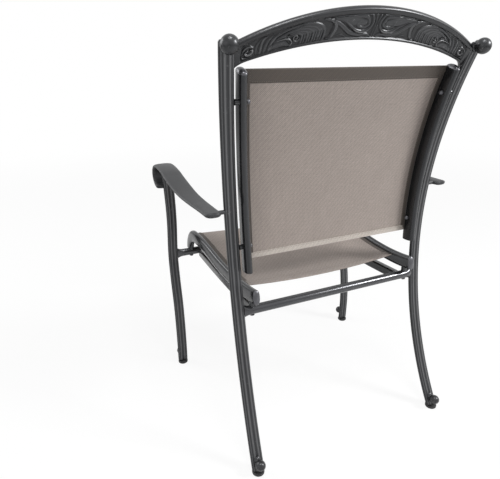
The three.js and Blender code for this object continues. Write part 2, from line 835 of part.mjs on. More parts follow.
function makeStretcher() {
  const halfWidth = stretcherWidth / 2;
  const halfHeight = stretcherHeight / 2;
  const outline = [
    [halfWidth, stretcherRound - halfHeight],
    [halfWidth, halfHeight - stretcherRound],
    [halfWidth - stretcherRound, halfHeight],
    [stretcherRound - halfWidth, halfHeight],
    [-halfWidth, halfHeight - stretcherRound],
    [-halfWidth, stretcherRound - halfHeight],
    [stretcherRound - halfWidth, -halfHeight],
    [halfWidth - stretcherRound, -halfHeight],
  ].map(([x, z]) => new THREE.Vector2(x, z));
  const endInset = crossbarRadius - overrun;
  const rings = evenShares(stretcherSteps).map((share) => {
    const height = THREE.MathUtils.lerp(rearCrossbarHeight, frontCrossbarHeight, share);
    const middle = height - stretcherDrop - stretcherSag * Math.sin(Math.PI * share);
    const y = THREE.MathUtils.lerp(crossbars.rear.y - endInset, crossbars.front.y + endInset, share);
    return outline.map((point) => new THREE.Vector3(stretcherSpacing + point.x, y, middle + point.y));
  });
  return cut(facingOut(loft(rings, outline)), ...Object.values(crossbars).map(crossbarCutter));
}

// Height lost along an arc that drops by its sagitta at half its span.
function arcDrop(x, sagitta) {
  const radius = (crestHalfSpan ** 2 + sagitta ** 2) / (2 * sagitta);
  return radius - Math.sqrt(radius ** 2 - x ** 2);
}

const crestTopAt = (x) => crestTopHeight - arcDrop(x, crestTopSagitta) - crestPivotHeight;
const crestBottomAt = (x) => crestBottomHeight - arcDrop(x, crestBottomSagitta) - crestPivotHeight;

// A plate between two edges that give its height at each place along the span, leaned back.
function crestPlate(reach, topAt, bottomAt, front, rear) {
  const across = evenShares(crestSteps).map((share) => reach * (2 * share - 1));
  const bottomEdge = across.map((x) => new THREE.Vector2(x, bottomAt(x)));
  const topEdge = across.map((x) => new THREE.Vector2(x, topAt(x))).reverse();
  const shape = new THREE.Shape([...bottomEdge, ...topEdge]);
  const plate = new THREE.ExtrudeGeometry(shape, { depth: rear - front, bevelEnabled: false });
  plate.rotateX(Math.PI / 2);
  plate.translate(0, rear, 0);
  plate.rotateX(-crestLean);
  return plate.translate(0, postLine(crestPivotHeight)[1], crestPivotHeight);
}

// The rail's lower edge swells down into each post like a cast fillet.
function crestFilletAt(x) {
  const inner = postLine(crestPivotHeight - crestBottomSagitta)[0] - barWidth / 2;
  const reach = THREE.MathUtils.clamp((Math.abs(x) - inner + crestFillet * 2) / (crestFillet * 2), 0, 1);
  return crestBottomAt(x) - crestFillet * reach ** 3;
}

function makeCrest() {
  const reach = postLine(crestPivotHeight)[0] - barWidth / 2 + overrun;
  const half = crestThickness / 2;
  const body = crestPlate(reach, crestTopAt, crestFilletAt, -half, half);
  const fieldReach = crestHalfSpan - crestEndRim;
  const fieldTop = (x) => crestTopAt(x) - crestTopRim;
  const fieldBottom = (x) => crestBottomAt(x) + crestBottomRim;
  const rearField = crestPlate(fieldReach, fieldTop, fieldBottom, half - crestFieldDepth, half + overrun);
  const frontField = crestPlate(fieldReach, fieldTop, fieldBottom, -half - overrun, crestFieldDepth - half);
  return cut(body, rearField, frontField, postCutter, mirrored(facingOut(postCutter.clone())));
}

// How far inside a rail's line a sheet's edge lies, so that it meets the rail's side.
function edgeInset(offset) {
  return ovalReach(offset - slingThickness / 2, railDepth, railWidth) + slingEdgeGap;
}

// A thin sheet through rows of places: each row gives its middle, its normal, its half width
// and how far its middle hangs below its edges.
function sheetThrough(rows) {
  const half = slingThickness / 2;
  const crossRow = (row, side, order) => order.map((column) => {
    const share = (2 * column) / sheetColumns - 1;
    const offset = side * half - row.sag * (1 - share ** 2);
    return row.middle.clone().addScaledVector(row.normal, offset).setX(row.halfWidth * share);
  });
  const columns = Array.from({ length: sheetColumns + 1 }, (_, column) => column);
  const back = [...columns].reverse();
  const rings = rows.map((row) => [...crossRow(row, -1, columns), ...crossRow(row, 1, back)]);
  const outline = [
    ...columns.map((column) => new THREE.Vector2(column, 0)),
    ...back.map((column) => new THREE.Vector2(column, 1)),
  ];
  return facingOut(loft(rings, outline));
}

function makeBackSling() {
  return sheetThrough(evenShares(backSheetRows).map((share) => {
    const height = THREE.MathUtils.lerp(backSlingBottom, backSlingTop, share);
    const rail = backRailPlace(height);
    return {
      middle: new THREE.Vector3(0, rail.y - backSlingForward, height),
      normal: new THREE.Vector3(0, -1, 0),
      halfWidth: rail.x - edgeInset(backSlingForward),
      sag: 0,
    };
  }));
}

function makeSeatSling() {
  const total = seatRailLine.getLength();
  const start = (seatRailRearReach + seatSlingRearStart) / total;
  const end = 1 - seatSlingFrontEnd / total;
  return sheetThrough(evenShares(seatSheetRows).map((share) => {
    const at = THREE.MathUtils.lerp(start, end, share);
    const rail = seatRailLine.getPointAt(at);
    const along = seatRailLine.getTangentAt(at);
    const normal = new THREE.Vector3(0, along.z, -along.y).normalize();
    return {
      middle: rail.clone().setX(0).addScaledVector(normal, seatSlingRise),
      normal,
      halfWidth: rail.x - edgeInset(seatSlingRise),
      sag: seatSlingSag * (1 - sagFadeShare * share ** 4),
    };
  }));
}

const chair = new THREE.Group();

function addPiece(name, geometry, look) {
  geometry.computeVertexNormals();
  const mesh = new THREE.Mesh(geometry, new THREE.MeshStandardMaterial(look));
  mesh.name = name;
  chair.add(mesh);
}

// Adds a piece on the sitter's left and its mirror image on the right.
function addPair(name, geometry, look) {
  const left = facingOut(geometry);
  addPiece(`${name}_left`, left, look);
  addPiece(`${name}_right`, mirrored(left), look);
}

function addFrame() {
  addPair('back_post', makePost(), metal);
  addPair('front_leg', makeLeg(), metal);
  addPair('arm', makeArm(), metal);
  addPiece('crest_rail', makeCrest(), metal);
  addPiece('rear_crossbar', makeCrossbar(crossbars.rear, postCutter, rearBolt), metal);
  addPiece('front_crossbar', makeCrossbar(crossbars.front, legBar(gap), frontBolt), metal);
  addPair('side_stretcher', makeStretcher(), metal);
}

function addSeat() {
  addPair('seat_rail', makeSeatRail(), metal);
  addPair('seat_rail_plug', makePlug(seatRailLine, 0, seatDomeHeight), brightMetal);
  addPair('seat_rail_insert', makeInsert(), brightMetal);
  addPair('seat_rail_spacer', makeSeatSpacer(), metal);
  addPair('seat_rail_nut', makeInnerNut(), brightMetal);
  addPair('rear_seat_bolt', makeBolt(rearBolt), brightMetal);
  addPair('front_seat_bolt', makeBolt(frontBolt), brightMetal);
  addPiece('seat_sling', makeSeatSling(), fabric);
}

function addBack() {
  addPair('back_rail', makeBackRail(), metal);
  addPair('back_rail_dome_plug', makePlug(backRailLine, 1, railDomeHeight), brightMetal);
  addPair('back_rail_foot_plug', makePlug(backRailLine, 0, footPlugHeight), plastic);
  for (const [level, height] of Object.entries(studHeights)) {
    addPair(`${level}_back_collar`, makeCollar(height), metal);
    addPair(`${level}_back_stud`, makeStud(height), brightMetal);
    addPair(`${level}_back_nut`, makeDomeNut(height), brightMetal);
  }
  addPiece('back_sling', makeBackSling(), fabric);
}

function addGlides() {
  addPair('rear_glide', makeGlide(postLine), plastic);
  addPair('front_glide', makeGlide(legLine), plastic);
}

addFrame();
addSeat();
addBack();
addGlides();

const extent = new THREE.Box3().setFromObject(chair);
const middle = extent.getCenter(new THREE.Vector3());
chair.children.forEach((mesh) => mesh.position.set(-middle.x, -middle.y, -extent.min.z));

export default chair;
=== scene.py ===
# %% [markdown]
# # Dressing a sling patio armchair
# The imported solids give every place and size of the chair. This lesson puts finer surfaces
# over them: fluted cast bars, a crest with carved leaves, oval rails and two woven slings.
# All lengths below are millimetres until a mesh is made, because the real chair was drawn so.

import json

import bpy
import numpy as np
from mathutils import Matrix


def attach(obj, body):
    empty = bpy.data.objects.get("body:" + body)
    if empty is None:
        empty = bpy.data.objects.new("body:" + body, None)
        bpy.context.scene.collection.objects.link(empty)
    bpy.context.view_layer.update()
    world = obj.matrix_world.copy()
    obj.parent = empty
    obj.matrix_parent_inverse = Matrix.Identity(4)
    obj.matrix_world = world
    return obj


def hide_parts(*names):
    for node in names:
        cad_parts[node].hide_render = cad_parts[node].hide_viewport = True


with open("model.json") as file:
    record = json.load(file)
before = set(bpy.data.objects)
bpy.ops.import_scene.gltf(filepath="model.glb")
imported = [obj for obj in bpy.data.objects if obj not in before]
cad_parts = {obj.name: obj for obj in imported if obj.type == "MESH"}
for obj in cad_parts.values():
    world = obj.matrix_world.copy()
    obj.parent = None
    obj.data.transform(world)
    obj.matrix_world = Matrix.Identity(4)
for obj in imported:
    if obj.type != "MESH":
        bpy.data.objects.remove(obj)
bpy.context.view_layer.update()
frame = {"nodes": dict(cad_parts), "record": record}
scene = bpy.context.scene

# %% [markdown]
# ## Camera
# The photograph was taken from behind the chair and to its left, a little above its top.
# A view could be turned by eye until it fits. Here its place was worked out from the chair's
# own symmetry and its square cross members, which is surer. The result is a place, three
# turns and a focal length, so the camera is built from these numbers.

# %% Camera
REAR_BAR_Y = 145.512  # how far behind the frame's origin the rear crossbar's drawing line lies
EYE = np.array([576.84, 824.19 + REAR_BAR_Y, 873.25]) / 1000
YAW, PITCH, ROLL = np.radians([23.3535, 20.8995, -0.98666])
PICTURE, MIDDLE, FOCAL = (500, 479), (249.693, 239.464), 444.996  # pixels
SENSOR = 36


def unit(vectors):
    """The same directions with length 1."""
    return vectors / np.linalg.norm(vectors, axis=-1, keepdims=True)


def camera_axes(yaw, pitch, roll):
    """Right, up and ahead of a camera: ahead from yaw and pitch, then both turned by roll."""
    ahead = -np.array([np.sin(yaw) * np.cos(pitch), np.cos(yaw) * np.cos(pitch), np.sin(pitch)])
    level = unit(np.cross(ahead, [0, 0, 1]))
    above = np.cross(level, ahead)
    right = np.cos(roll) * level + np.sin(roll) * above
    up = -np.sin(roll) * level + np.cos(roll) * above
    return right, up, ahead


def placed(x_axis, y_axis, z_axis, place):
    """Matrix whose columns are a thing's three axes and its place."""
    rows = [[x_axis[i], y_axis[i], z_axis[i], place[i]] for i in range(3)]
    return Matrix([*rows, [0, 0, 0, 1]])


right, up, ahead = camera_axes(YAW, PITCH, ROLL)
camera_data = bpy.data.cameras.new("camera")
camera_data.sensor_width = SENSOR
camera_data.lens = FOCAL / PICTURE[0] * SENSOR
camera_data.shift_x = (PICTURE[0] / 2 - MIDDLE[0]) / PICTURE[0]
camera_data.shift_y = (MIDDLE[1] - PICTURE[1] / 2) / PICTURE[0]
camera = bpy.data.objects.new("camera", camera_data)
scene.collection.objects.link(camera)
camera.matrix_world = placed(right, up, -ahead, EYE)
scene.camera = camera
print("camera at", EYE.round(3), "lens", round(camera_data.lens, 2))

# %% [markdown]
# ## From numbers to meshes
# Nearly every piece here is a stack of rings: the same outline set at many places along a
# line. A shell is kept as points, four-sided faces and triangles, so that several shells can
# be joined before one mesh is made. Faces are turned outwards by the sign of the volume.

# %% Shells made of rings


def outward(points, quads, triangles):
    """Turns all faces round if the volume, the sum of a . (b x c) / 6, comes out negative."""
    split = np.vstack([quads[:, [0, 1, 2]], quads[:, [0, 2, 3]], triangles])
    a, b, c = (points[split[:, i]] for i in range(3))
    if np.einsum("ij,ij->", a, np.cross(b, c)) < 0:
        quads, triangles = quads[:, ::-1], triangles[:, ::-1]
    return points, quads, triangles


def ring_stack(rings, ends=None):
    """Closed shell over rings of shape (rings, sides, 3), each end closed by a fan of triangles
    about the given end point, or else about the end ring's mean."""
    count, sides, _ = rings.shape
    here = np.arange(count * sides).reshape(count, sides)
    beside = np.roll(here, -1, axis=1)
    quads = np.stack([here[:-1], beside[:-1], beside[1:], here[1:]], -1).reshape(-1, 4)
    tips = ends if ends is not None else (rings[0].mean(0), rings[-1].mean(0))
    first, last = (np.full(sides, count * sides + i) for i in range(2))
    low_fan = np.stack([beside[0], here[0], first], -1)
    high_fan = np.stack([here[-1], beside[-1], last], -1)
    points = np.vstack([rings.reshape(-1, 3), *(np.atleast_2d(tip) for tip in tips)])
    return outward(points, quads, np.vstack([low_fan, high_fan]))


def join(*shells):
    """One shell out of several: points are stacked, and face numbers move up by those before."""
    starts = np.cumsum([0] + [len(shell[0]) for shell in shells[:-1]])
    return tuple(
        np.vstack([shell[part] + (start if part else 0) for shell, start in zip(shells, starts)])
        for part in range(3)
    )


def mirrored(shell):
    """The same shell across the plane X = 0, with its faces turned back outwards."""
    points, quads, triangles = shell
    return points * [-1, 1, 1], quads[:, ::-1], triangles[:, ::-1]


print("shell tools ready")

# %% [markdown]
# Two ways of laying an outline along a line are needed. A sweep sets it square to the line,
# as an extruded tube is bent. A turning spins a profile round an axis, as on a lathe. Both
# could be made with modifiers, but then their sizes could not be worked out in one formula.

# %% Outlines, sweeps and turnings


def smooth(value, low, high):
    """Eased step from 0 at low to 1 at high."""
    s = np.clip((value - low) / (high - low), 0, 1)
    return s * s * (3 - 2 * s)


def bell(distance, width):
    """exp(-(distance / width) ** 2), which is 1 in the middle and fades to both sides."""
    return np.exp(-((distance / width) ** 2))


def oval(sides, half_width, half_height, power=2.0):
    """Superellipse: x = a * sgn(cos t) * |cos t| ** (2 / p), and y the same with b and sin t."""
    turn = (np.arange(sides) + 0.5) / sides * 2 * np.pi
    bend = [np.sign(f) * np.abs(f) ** (2 / power) for f in (np.cos(turn), np.sin(turn))]
    return np.stack([half_width * bend[0], half_height * bend[1]], -1)


def sweep(path, outline):
    """Rings = path + x * across + y * rise, where across is +X made square to the path's
    direction, and rise is direction x across."""
    direction = unit(np.gradient(path, axis=0))
    across = unit(np.array([1.0, 0, 0]) - direction * direction[:, :1])
    rise = np.cross(direction, across)
    return path[:, None] + outline[..., :1] * across[:, None] + outline[..., 1:] * rise[:, None]


def turned(profile, place, axis, sides=32):
    """Rings = place + axis * distance + radius * (cos t * u + sin t * v), from rows of radius
    and distance. The first and last rows are the poles."""
    axis = np.array(axis, float)
    u = np.cross(axis, [0, 0, 1.0] if abs(axis[2]) < 0.9 else [1.0, 0, 0])
    v = np.cross(axis, u)
    turn = np.arange(sides) / sides * 2 * np.pi
    circle = np.cos(turn)[:, None] * u + np.sin(turn)[:, None] * v
    profile = np.array(profile, float)
    middles = np.array(place) + profile[:, 1:] * axis
    rings = middles[1:-1, None] + profile[1:-1, :1, None] * circle
    return ring_stack(rings, ends=(middles[0], middles[-1]))


def resample(path, shares):
    """Places at shares of a path's length, by straight runs between its points."""
    steps = np.linalg.norm(np.diff(path, axis=0), axis=1)
    reach = np.concatenate([[0], np.cumsum(steps)])
    at = np.array(shares) * reach[-1]
    return np.stack([np.interp(at, reach, column) for column in path.T], -1)


print("a 36 sided oval of 17 by 36:", np.ptp(oval(36, 8.5, 18, 2.5), axis=0).round(2))

# %% [markdown]
# Curved lines run smoothly through a few known places. The first function is a cubic in one
# variable, for bars drawn by height. The second is a cubic in space, whose knots are spaced
# by the root of the distance, so that it doesn't overshoot where places lie close together.

# %% Smooth lines


def cubic(s, start, leave, end, arrive):
    """From start to end over s from 0 to 1, with slope leave at 0 and arrive at 1."""
    begun = (2 * s**3 - 3 * s**2 + 1) * start + (s**3 - 2 * s**2 + s) * leave
    return begun + (3 * s**2 - 2 * s**3) * end + (s**3 - s**2) * arrive


def through_heights(z, heights, values):
    """Cubic with slope (next - previous) / (their distance) at inner knots and no bend at ends."""
    values = np.array(values, float)
    slopes = np.empty_like(values)
    slopes[1:-1] = (values[2:] - values[:-2]) / (heights[2:] - heights[:-2])[:, None]
    rise = np.diff(values, axis=0) / np.diff(heights)[:, None]
    slopes[0] = 1.5 * rise[0] - 0.5 * slopes[1]
    slopes[-1] = 1.5 * rise[-1] - 0.5 * slopes[-2]
    z = np.atleast_1d(np.asarray(z, float))
    i = np.clip(np.searchsorted(heights, z) - 1, 0, len(heights) - 2)
    run = (heights[i + 1] - heights[i])[:, None]
    s = (z - heights[i])[:, None] / run
    return cubic(s, values[i], run * slopes[i], values[i + 1], run * slopes[i + 1])


def through_places(places, steps=24):
    """Cubic runs between places, with knot distance = |difference| ** 0.5 and mirrored ends."""
    p = np.array(places, float)
    p = np.vstack([2 * p[0] - p[1], p, 2 * p[-1] - p[-2]])
    knot = np.linalg.norm(np.diff(p, axis=0), axis=1)[:, None] ** 0.5
    before, span, after = knot[:-2], knot[1:-1], knot[2:]
    p0, p1, p2, p3 = p[:-3], p[1:-2], p[2:-1], p[3:]
    leave = ((p1 - p0) / before - (p2 - p0) / (before + span)) * span + (p2 - p1)
    arrive = ((p3 - p2) / after - (p3 - p1) / (span + after)) * span + (p2 - p1)
    s = (np.arange(steps) / steps)[None, :, None]
    runs = cubic(s, p1[:, None], leave[:, None], p2[:, None], arrive[:, None])
    return np.vstack([runs.reshape(-1, p.shape[1]), p2[-1:]])


print("points through 3 places:", len(through_places([[0, 0, 0], [1, 0, 0], [1, 1, 0]])))

# %% [markdown]
# ## Finishes
# The frame is cast and tube aluminium under one dark pewter coat. It is slightly uneven, as
# castings are, and thinner and shinier where hands and stacking rub it. One flat grey would
# look like plastic, so noise on Object coordinates varies it and keeps that grain fixed to
# the metal. Shared effects are node groups.

# %% Node tools


def new_group(name, inputs, outputs):
    """A shader node group with float or vector sockets, and its input and output nodes."""
    group = bpy.data.node_groups.new(name, "ShaderNodeTree")
    for socket, kind, value in inputs:
        made = group.interface.new_socket(socket, in_out="INPUT", socket_type=kind)
        if value is not None:
            made.default_value = value
    for socket in outputs:
        group.interface.new_socket(socket, in_out="OUTPUT", socket_type="NodeSocketFloat")
    return group, group.nodes.new("NodeGroupInput"), group.nodes.new("NodeGroupOutput")


def wire(tree, kind, inputs=None, **settings):
    """Adds a node, sets its options, and feeds each numbered or named input a value or socket."""
    node = tree.nodes.new(kind)
    for key, value in settings.items():
        setattr(node, key, value)
    for key, value in (inputs or {}).items():
        if isinstance(value, bpy.types.NodeSocket):
            tree.links.new(value, node.inputs[key])
        else:
            node.inputs[key].default_value = value
    return node


def calc(tree, operation, a, b=0.0, c=0.0):
    """One step of arithmetic between two or three numbers or sockets."""
    return wire(tree, "ShaderNodeMath", {0: a, 1: b, 2: c}, operation=operation).outputs[0]


def noise(tree, place, scale, detail, roughness=0.5):
    """Noise from 0 to 1."""
    inputs = {"Vector": place, "Scale": scale, "Detail": detail, "Roughness": roughness}
    return wire(tree, "ShaderNodeTexNoise", inputs).outputs["Fac"]


def remap(tree, value, low, high, start=0.0, end=1.0, **settings):
    """A value between low and high, laid out from start to end and held there beyond them."""
    inputs = {0: value, 1: low, 2: high, 3: start, 4: end}
    return wire(tree, "ShaderNodeMapRange", inputs, **settings).outputs[0]


def blend(tree, share, low, high, how="MIX"):
    """A colour between two colours or sockets by a share, or their product."""
    low, high = ((*colour, 1) if isinstance(colour, tuple) else colour for colour in (low, high))
    inputs = {0: share, 6: low, 7: high}
    return wire(tree, "ShaderNodeMix", inputs, data_type="RGBA", blend_type=how).outputs[2]


def new_material(name):
    """A material with nodes, its tree and its Principled shader."""
    material = bpy.data.materials.new(name)
    material.use_nodes = True
    return material, material.node_tree, material.node_tree.nodes["Principled BSDF"]


print("node tools ready")

# %% Cast grain


def make_cast_grain():
    """Fine orange peel on the broad unevenness of the casting, clouds, and rubbed patches."""
    inputs = [("Vector", "NodeSocketVector", None), ("Peel Scale", "NodeSocketFloat", 900.0)]
    group, given, out = new_group("cast_grain", inputs, ["Height", "Cloud", "Rubbed"])
    place = given.outputs["Vector"]
    peel = noise(group, place, given.outputs["Peel Scale"], 3.0)
    height = calc(group, "MULTIPLY_ADD", noise(group, place, 60.0, 2.0), 1.6, peel)
    cloud = noise(group, place, 9.0, 4.0)
    rubbed = remap(group, noise(group, place, 140.0, 6.0, 0.65), 0.62, 0.78)
    for socket, value in (("Height", height), ("Cloud", cloud), ("Rubbed", rubbed)):
        group.links.new(value, out.inputs[socket])
    return group


cast_grain = make_cast_grain()
print("group:", cast_grain.name, "nodes:", len(cast_grain.nodes))

# %% Metal and plastic


def make_coated(name, dark, light, rubbed, gloss, metallic, bump, coat=0.0, peel=900.0, hollow_shade=None):
    """Colour runs from dark to light with the clouds, and to the rubbed colour in its patches.
    Roughness runs between the two gloss values with the same clouds. Where a colour for the
    hollows is given, the mesh's shade-and-wear value paints shade with it in the hollows, and
    paints a highlight, together with rubbing, with the rubbed colour on the ridges."""
    material, tree, shader = new_material(name)
    place = wire(tree, "ShaderNodeTexCoord").outputs["Object"]
    grain = wire(tree, "ShaderNodeGroup", node_tree=cast_grain)
    tree.links.new(place, grain.inputs["Vector"])
    grain.inputs["Peel Scale"].default_value = peel
    height, cloud, patches = (grain.outputs[socket] for socket in ("Height", "Cloud", "Rubbed"))
    colour = blend(tree, patches, blend(tree, cloud, dark, light), rubbed)
    if hollow_shade:
        shade_and_wear = wire(tree, "ShaderNodeAttribute", attribute_name="shade_and_wear").outputs["Fac"]
        # Painted shade in the hollows, then a painted highlight on the ridges that also stands for rubbing.
        colour = blend(tree, remap(tree, shade_and_wear, 0.0, 0.45), hollow_shade, colour)
        colour = blend(tree, remap(tree, shade_and_wear, 0.72, 1.0, 0.0, 0.8), colour, rubbed)
    tilt = wire(tree, "ShaderNodeBump", {"Strength": bump, "Distance": 0.0004, "Height": height})
    tree.links.new(colour, shader.inputs["Base Color"])
    tree.links.new(remap(tree, cloud, 0.3, 0.7, *gloss), shader.inputs["Roughness"])
    tree.links.new(tilt.outputs[0], shader.inputs["Normal"])
    shader.inputs["Metallic"].default_value = metallic
    shader.inputs["Coat Weight"].default_value = coat
    shader.inputs["Coat Roughness"].default_value = 0.18
    return material


PEWTER = ((0.022, 0.023, 0.025), (0.042, 0.043, 0.046))
RUBBED = (0.085, 0.085, 0.088)
# The crossbars' colours, lighter than the one pewter coat: painted light along them.
LIT_TUBE = ((0.045, 0.046, 0.050), (0.070, 0.071, 0.076), (0.120, 0.120, 0.124))
BRIGHT = ((0.075, 0.075, 0.082), (0.12, 0.12, 0.13), (0.18, 0.18, 0.19))
NYLON = ((0.010, 0.010, 0.011), (0.020, 0.020, 0.021), (0.035, 0.035, 0.036))
pewter = make_coated("pewter_coat", *PEWTER, RUBBED, (0.18, 0.26), 0.7, 0.12, coat=0.3)
lit_tube_pewter = make_coated("lit_tube_pewter_coat", *LIT_TUBE, (0.17, 0.25), 0.75, 0.10, coat=0.3)
arm_pewter = make_coated("arm_pewter_coat", *PEWTER, RUBBED, (0.44, 0.56), 0.3, 0.15)
# The carved coat's 0.007 hollow colour is painted shade, and its 0.180 rubbed colour also paints highlights
# on ridges.
carved_pewter = make_coated("carved_pewter_coat", *PEWTER, (0.180, 0.180, 0.185), (0.30, 0.40), 0.55,
                            0.12, coat=0.10, hollow_shade=(0.007, 0.007, 0.008))
bright_pewter = make_coated("bright_pewter", *BRIGHT, (0.27, 0.35), 0.7, 0.08, coat=0.1)
black_nylon = make_coated("black_nylon", *NYLON, (0.48, 0.62), 0.0, 0.25, peel=1600.0)
print("finishes:", pewter.name, lit_tube_pewter.name, arm_pewter.name, carved_pewter.name)

# %% [markdown]
# ## Putting a piece into the scene
# Each finished shell becomes one object at the origin. It rides on the chair's only body,
# takes its finish, and hides the solids it stands for. Most pieces come in a
# left and a right copy, and the right one is worked out from the left, so that both agree.

# %% Placing pieces


def place_mesh(name, shell, material, stands_for=(), sharp=38, shade_and_wear=None):
    """Millimetres about the rear crossbar become metres in the frame, and edges that turn by
    more than the sharp angle stay crisp. The shade-and-wear value of each point, from 0 in a
    hollow to 1 on a ridge, is kept with the mesh; it paints shade in the hollows and a highlight
    with some rubbing on the ridges."""
    points, quads, triangles = shell
    mesh = bpy.data.meshes.new(name)
    place = (points + [0, REAR_BAR_Y, 0]) / 1000
    mesh.from_pydata(place.tolist(), [], quads.tolist() + triangles.tolist())
    mesh.polygons.foreach_set("use_smooth", np.ones(len(mesh.polygons), bool))
    mesh.set_sharp_from_angle(angle=np.radians(sharp))
    mesh.materials.append(material)
    if shade_and_wear is not None:
        mesh.attributes.new("shade_and_wear", "FLOAT", "POINT").data.foreach_set("value", shade_and_wear)
    piece = bpy.data.objects.new(name, mesh)
    scene.collection.objects.link(piece)
    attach(piece, "root")
    if stands_for:
        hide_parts(*stands_for)
    print(name, "points", len(points), "faces", len(quads) + len(triangles))
    return piece


def place_pair(name, shell, material, sharp=38, shade_and_wear=None):
    """The piece on the sitter's left and its mirror image on the right, each for its solid."""
    for side, half in (("left", shell), ("right", mirrored(shell))):
        node = f"{name}_{side}"
        place_mesh(f"{node}_dressed", half, material, [node], sharp, shade_and_wear)


# %% [markdown]
# ## Fluted bars
# The posts and front legs are flat cast bars with rounded narrow sides. A round groove runs
# down the middle of each broad face, and a finer one near each edge. The grooves could be
# cut out of a plain bar, but formed in the outline itself they follow every bend cleanly. A
# superellipse gives the rounded bar, and bell shaped dips in its depth give the grooves.

# %% Fluted outline and bar
BAR_WIDTH, BAR_DEPTH = 29, 13
BAR_BOTTOM, BAR_ROUND = 8.3, 5.0
EDGE_GROOVE = 8.9  # from the bar's middle to its outer grooves


def fluted(sides=88):
    """Superellipse of power 2.8, less 2.1 * bell(x, 2.5) in the middle and
    0.9 * bell(|x| - 8.9, 1.4) near the edges, on both broad faces."""
    outline = oval(sides, BAR_WIDTH / 2, BAR_DEPTH / 2, 2.8)
    x, y = outline.T
    dip = 2.1 * bell(x, 2.5) + 0.9 * bell(np.abs(x) - EDGE_GROOVE, 1.4)
    return np.stack([x, y - np.sign(y) * np.minimum(dip, np.abs(y) * 0.5)], -1)


def bar_shade_and_wear(whole_count, bar_count):
    """Painted shade in the grooves and on the narrow sides, and a painted highlight with some
    rubbing on the ribs, the same on each ring. Points after the bar's rings, such as those of
    its balls, lie between the two."""
    x = fluted()[:, 0]
    groove = bell(x, 2.0) + 0.8 * bell(np.abs(x) - EDGE_GROOVE, 1.2)
    side = smooth(np.abs(x), 11.5, 14.2)
    ring = np.clip(0.88 - 0.84 * groove - 0.60 * side, 0.04, 1)
    return np.concatenate([np.resize(ring, bar_count), np.full(whole_count - bar_count, 0.62)])


def bar(line, top, top_round, rings=110):
    """Level rings up the line, drawn in by a quarter circle at the rounded ends, and stretched
    from back to front by the slope of the line."""
    quarter = np.linspace(0.12, 1, 7) * np.pi / 2
    low = BAR_BOTTOM + BAR_ROUND * (1 - np.cos(quarter))
    high = top - top_round + top_round * np.sin(quarter) if top_round else np.array([top])
    z = np.concatenate([low, np.linspace(BAR_BOTTOM + BAR_ROUND, top - top_round, rings)[1:-1], high])
    inset = np.zeros_like(z)
    inset[:7] = BAR_ROUND * (1 - np.sin(quarter))
    if top_round:
        inset[-7:] = top_round * (1 - np.cos(quarter))
    x, y = line(z)
    slope = np.gradient(y, z)
    share = (1 - inset / (BAR_WIDTH / 2))[:, None]
    stretch = share * np.hypot(1, slope)[:, None]
    outline = fluted()
    level = [x[:, None] + outline[:, 0] * share, y[:, None] + outline[:, 1] * stretch]
    return ring_stack(np.stack([*level, np.repeat(z[:, None], len(outline), 1)], -1))


print("fluted outline", np.ptp(fluted(), axis=0).round(1))

# %% The lines of post and leg
POST_X, POST_SPREAD, POST_LOW, POST_RISE = 253.4, 34, 300, 621
POST_RADIUS, POST_MIDDLE, POST_FORWARD = 1083, 518, 8
POST_TOP, LEG_TOP = 921, 628
FOOT, KNEE, CROWN = np.array([[304, -364, 0], [297, -411, 355], [306, -369, 637]])
LOWER_LEG = np.array([[0, 0, 0], [0.06, -0.07, 0.28], [0.22, 0.1, 0.56], [0.55, 0.61, 0.8]])
UPPER_LEG = np.array([[0, 0, 0], [-0.2, 0.235, 0.36], [0.29, 0.706, 0.62], [1, 1, 1]])


def post_line(z):
    """x = 253.4 + 34 * climb ** 2, and y is on a circle of radius 1083 seen from the side."""
    z = np.asarray(z, float)
    climb = (z - POST_LOW) / POST_RISE
    back = POST_RADIUS - np.sqrt(POST_RADIUS**2 - (z - POST_MIDDLE) ** 2)
    return POST_X + POST_SPREAD * climb**2, back - POST_FORWARD


def leg_line(z):
    """Shares of the way from foot to knee and from knee to crown, joined by one smooth cubic."""
    places = np.vstack([FOOT + (KNEE - FOOT) * LOWER_LEG, KNEE + (CROWN - KNEE) * UPPER_LEG])
    return through_heights(z, places[:, 2], places[:, :2]).T


def place_on(line, height):
    """x and y of a line at one height, as plain numbers."""
    x, y = line(np.array([float(height)]))
    return float(x[0]), float(y[0])


print("post at 500:", place_on(post_line, 500), "leg's knee:", place_on(leg_line, KNEE[2]))

# %% [markdown]
# Each post ends in a ball that hangs behind it on a short thick neck, like the curled end
# of a scroll. A smaller ball stands on a neck beside each foot. A plain sphere pushed into
# the bar would lack the soft hollow of a casting, so the toe ball is one turned profile: the
# smooth larger of neck and ball.

# %% Finials and toe balls
FINIAL_HEIGHT, FINIAL_RADIUS, FINIAL_BACK, FINIAL_OUT = 912, 16.5, 19, 1
TOE_HEIGHT, TOE_RADIUS, TOE_REACH = 30, 12.0, 22


def sphere(centre, radius, sides=40, rings=22):
    """Turned half circle: radius * (sin t, -cos t)."""
    t = np.linspace(0, np.pi, rings)
    return turned(np.stack([radius * np.sin(t), -radius * np.cos(t)], -1), centre, (0, 0, 1), sides)


def finial():
    """Ball on a thick short neck behind the post's top. The neck is a turned piece whose
    radius is 11 + 2.5 * exp(-s / 2), s from the post's rear face."""
    x, y = place_on(post_line, FINIAL_HEIGHT)
    s = np.linspace(0, 10, 14)
    rows = [[0, 4.5], *np.stack([11 + 2.5 * np.exp(-s / 2), 4.5 + s], -1).tolist(), [0, 14.5]]
    ball = sphere((x + FINIAL_OUT, y + FINIAL_BACK, FINIAL_HEIGHT), FINIAL_RADIUS)
    return join(ball, turned(rows, (x, y, FINIAL_HEIGHT - 1), (0, 1, 0), 40))


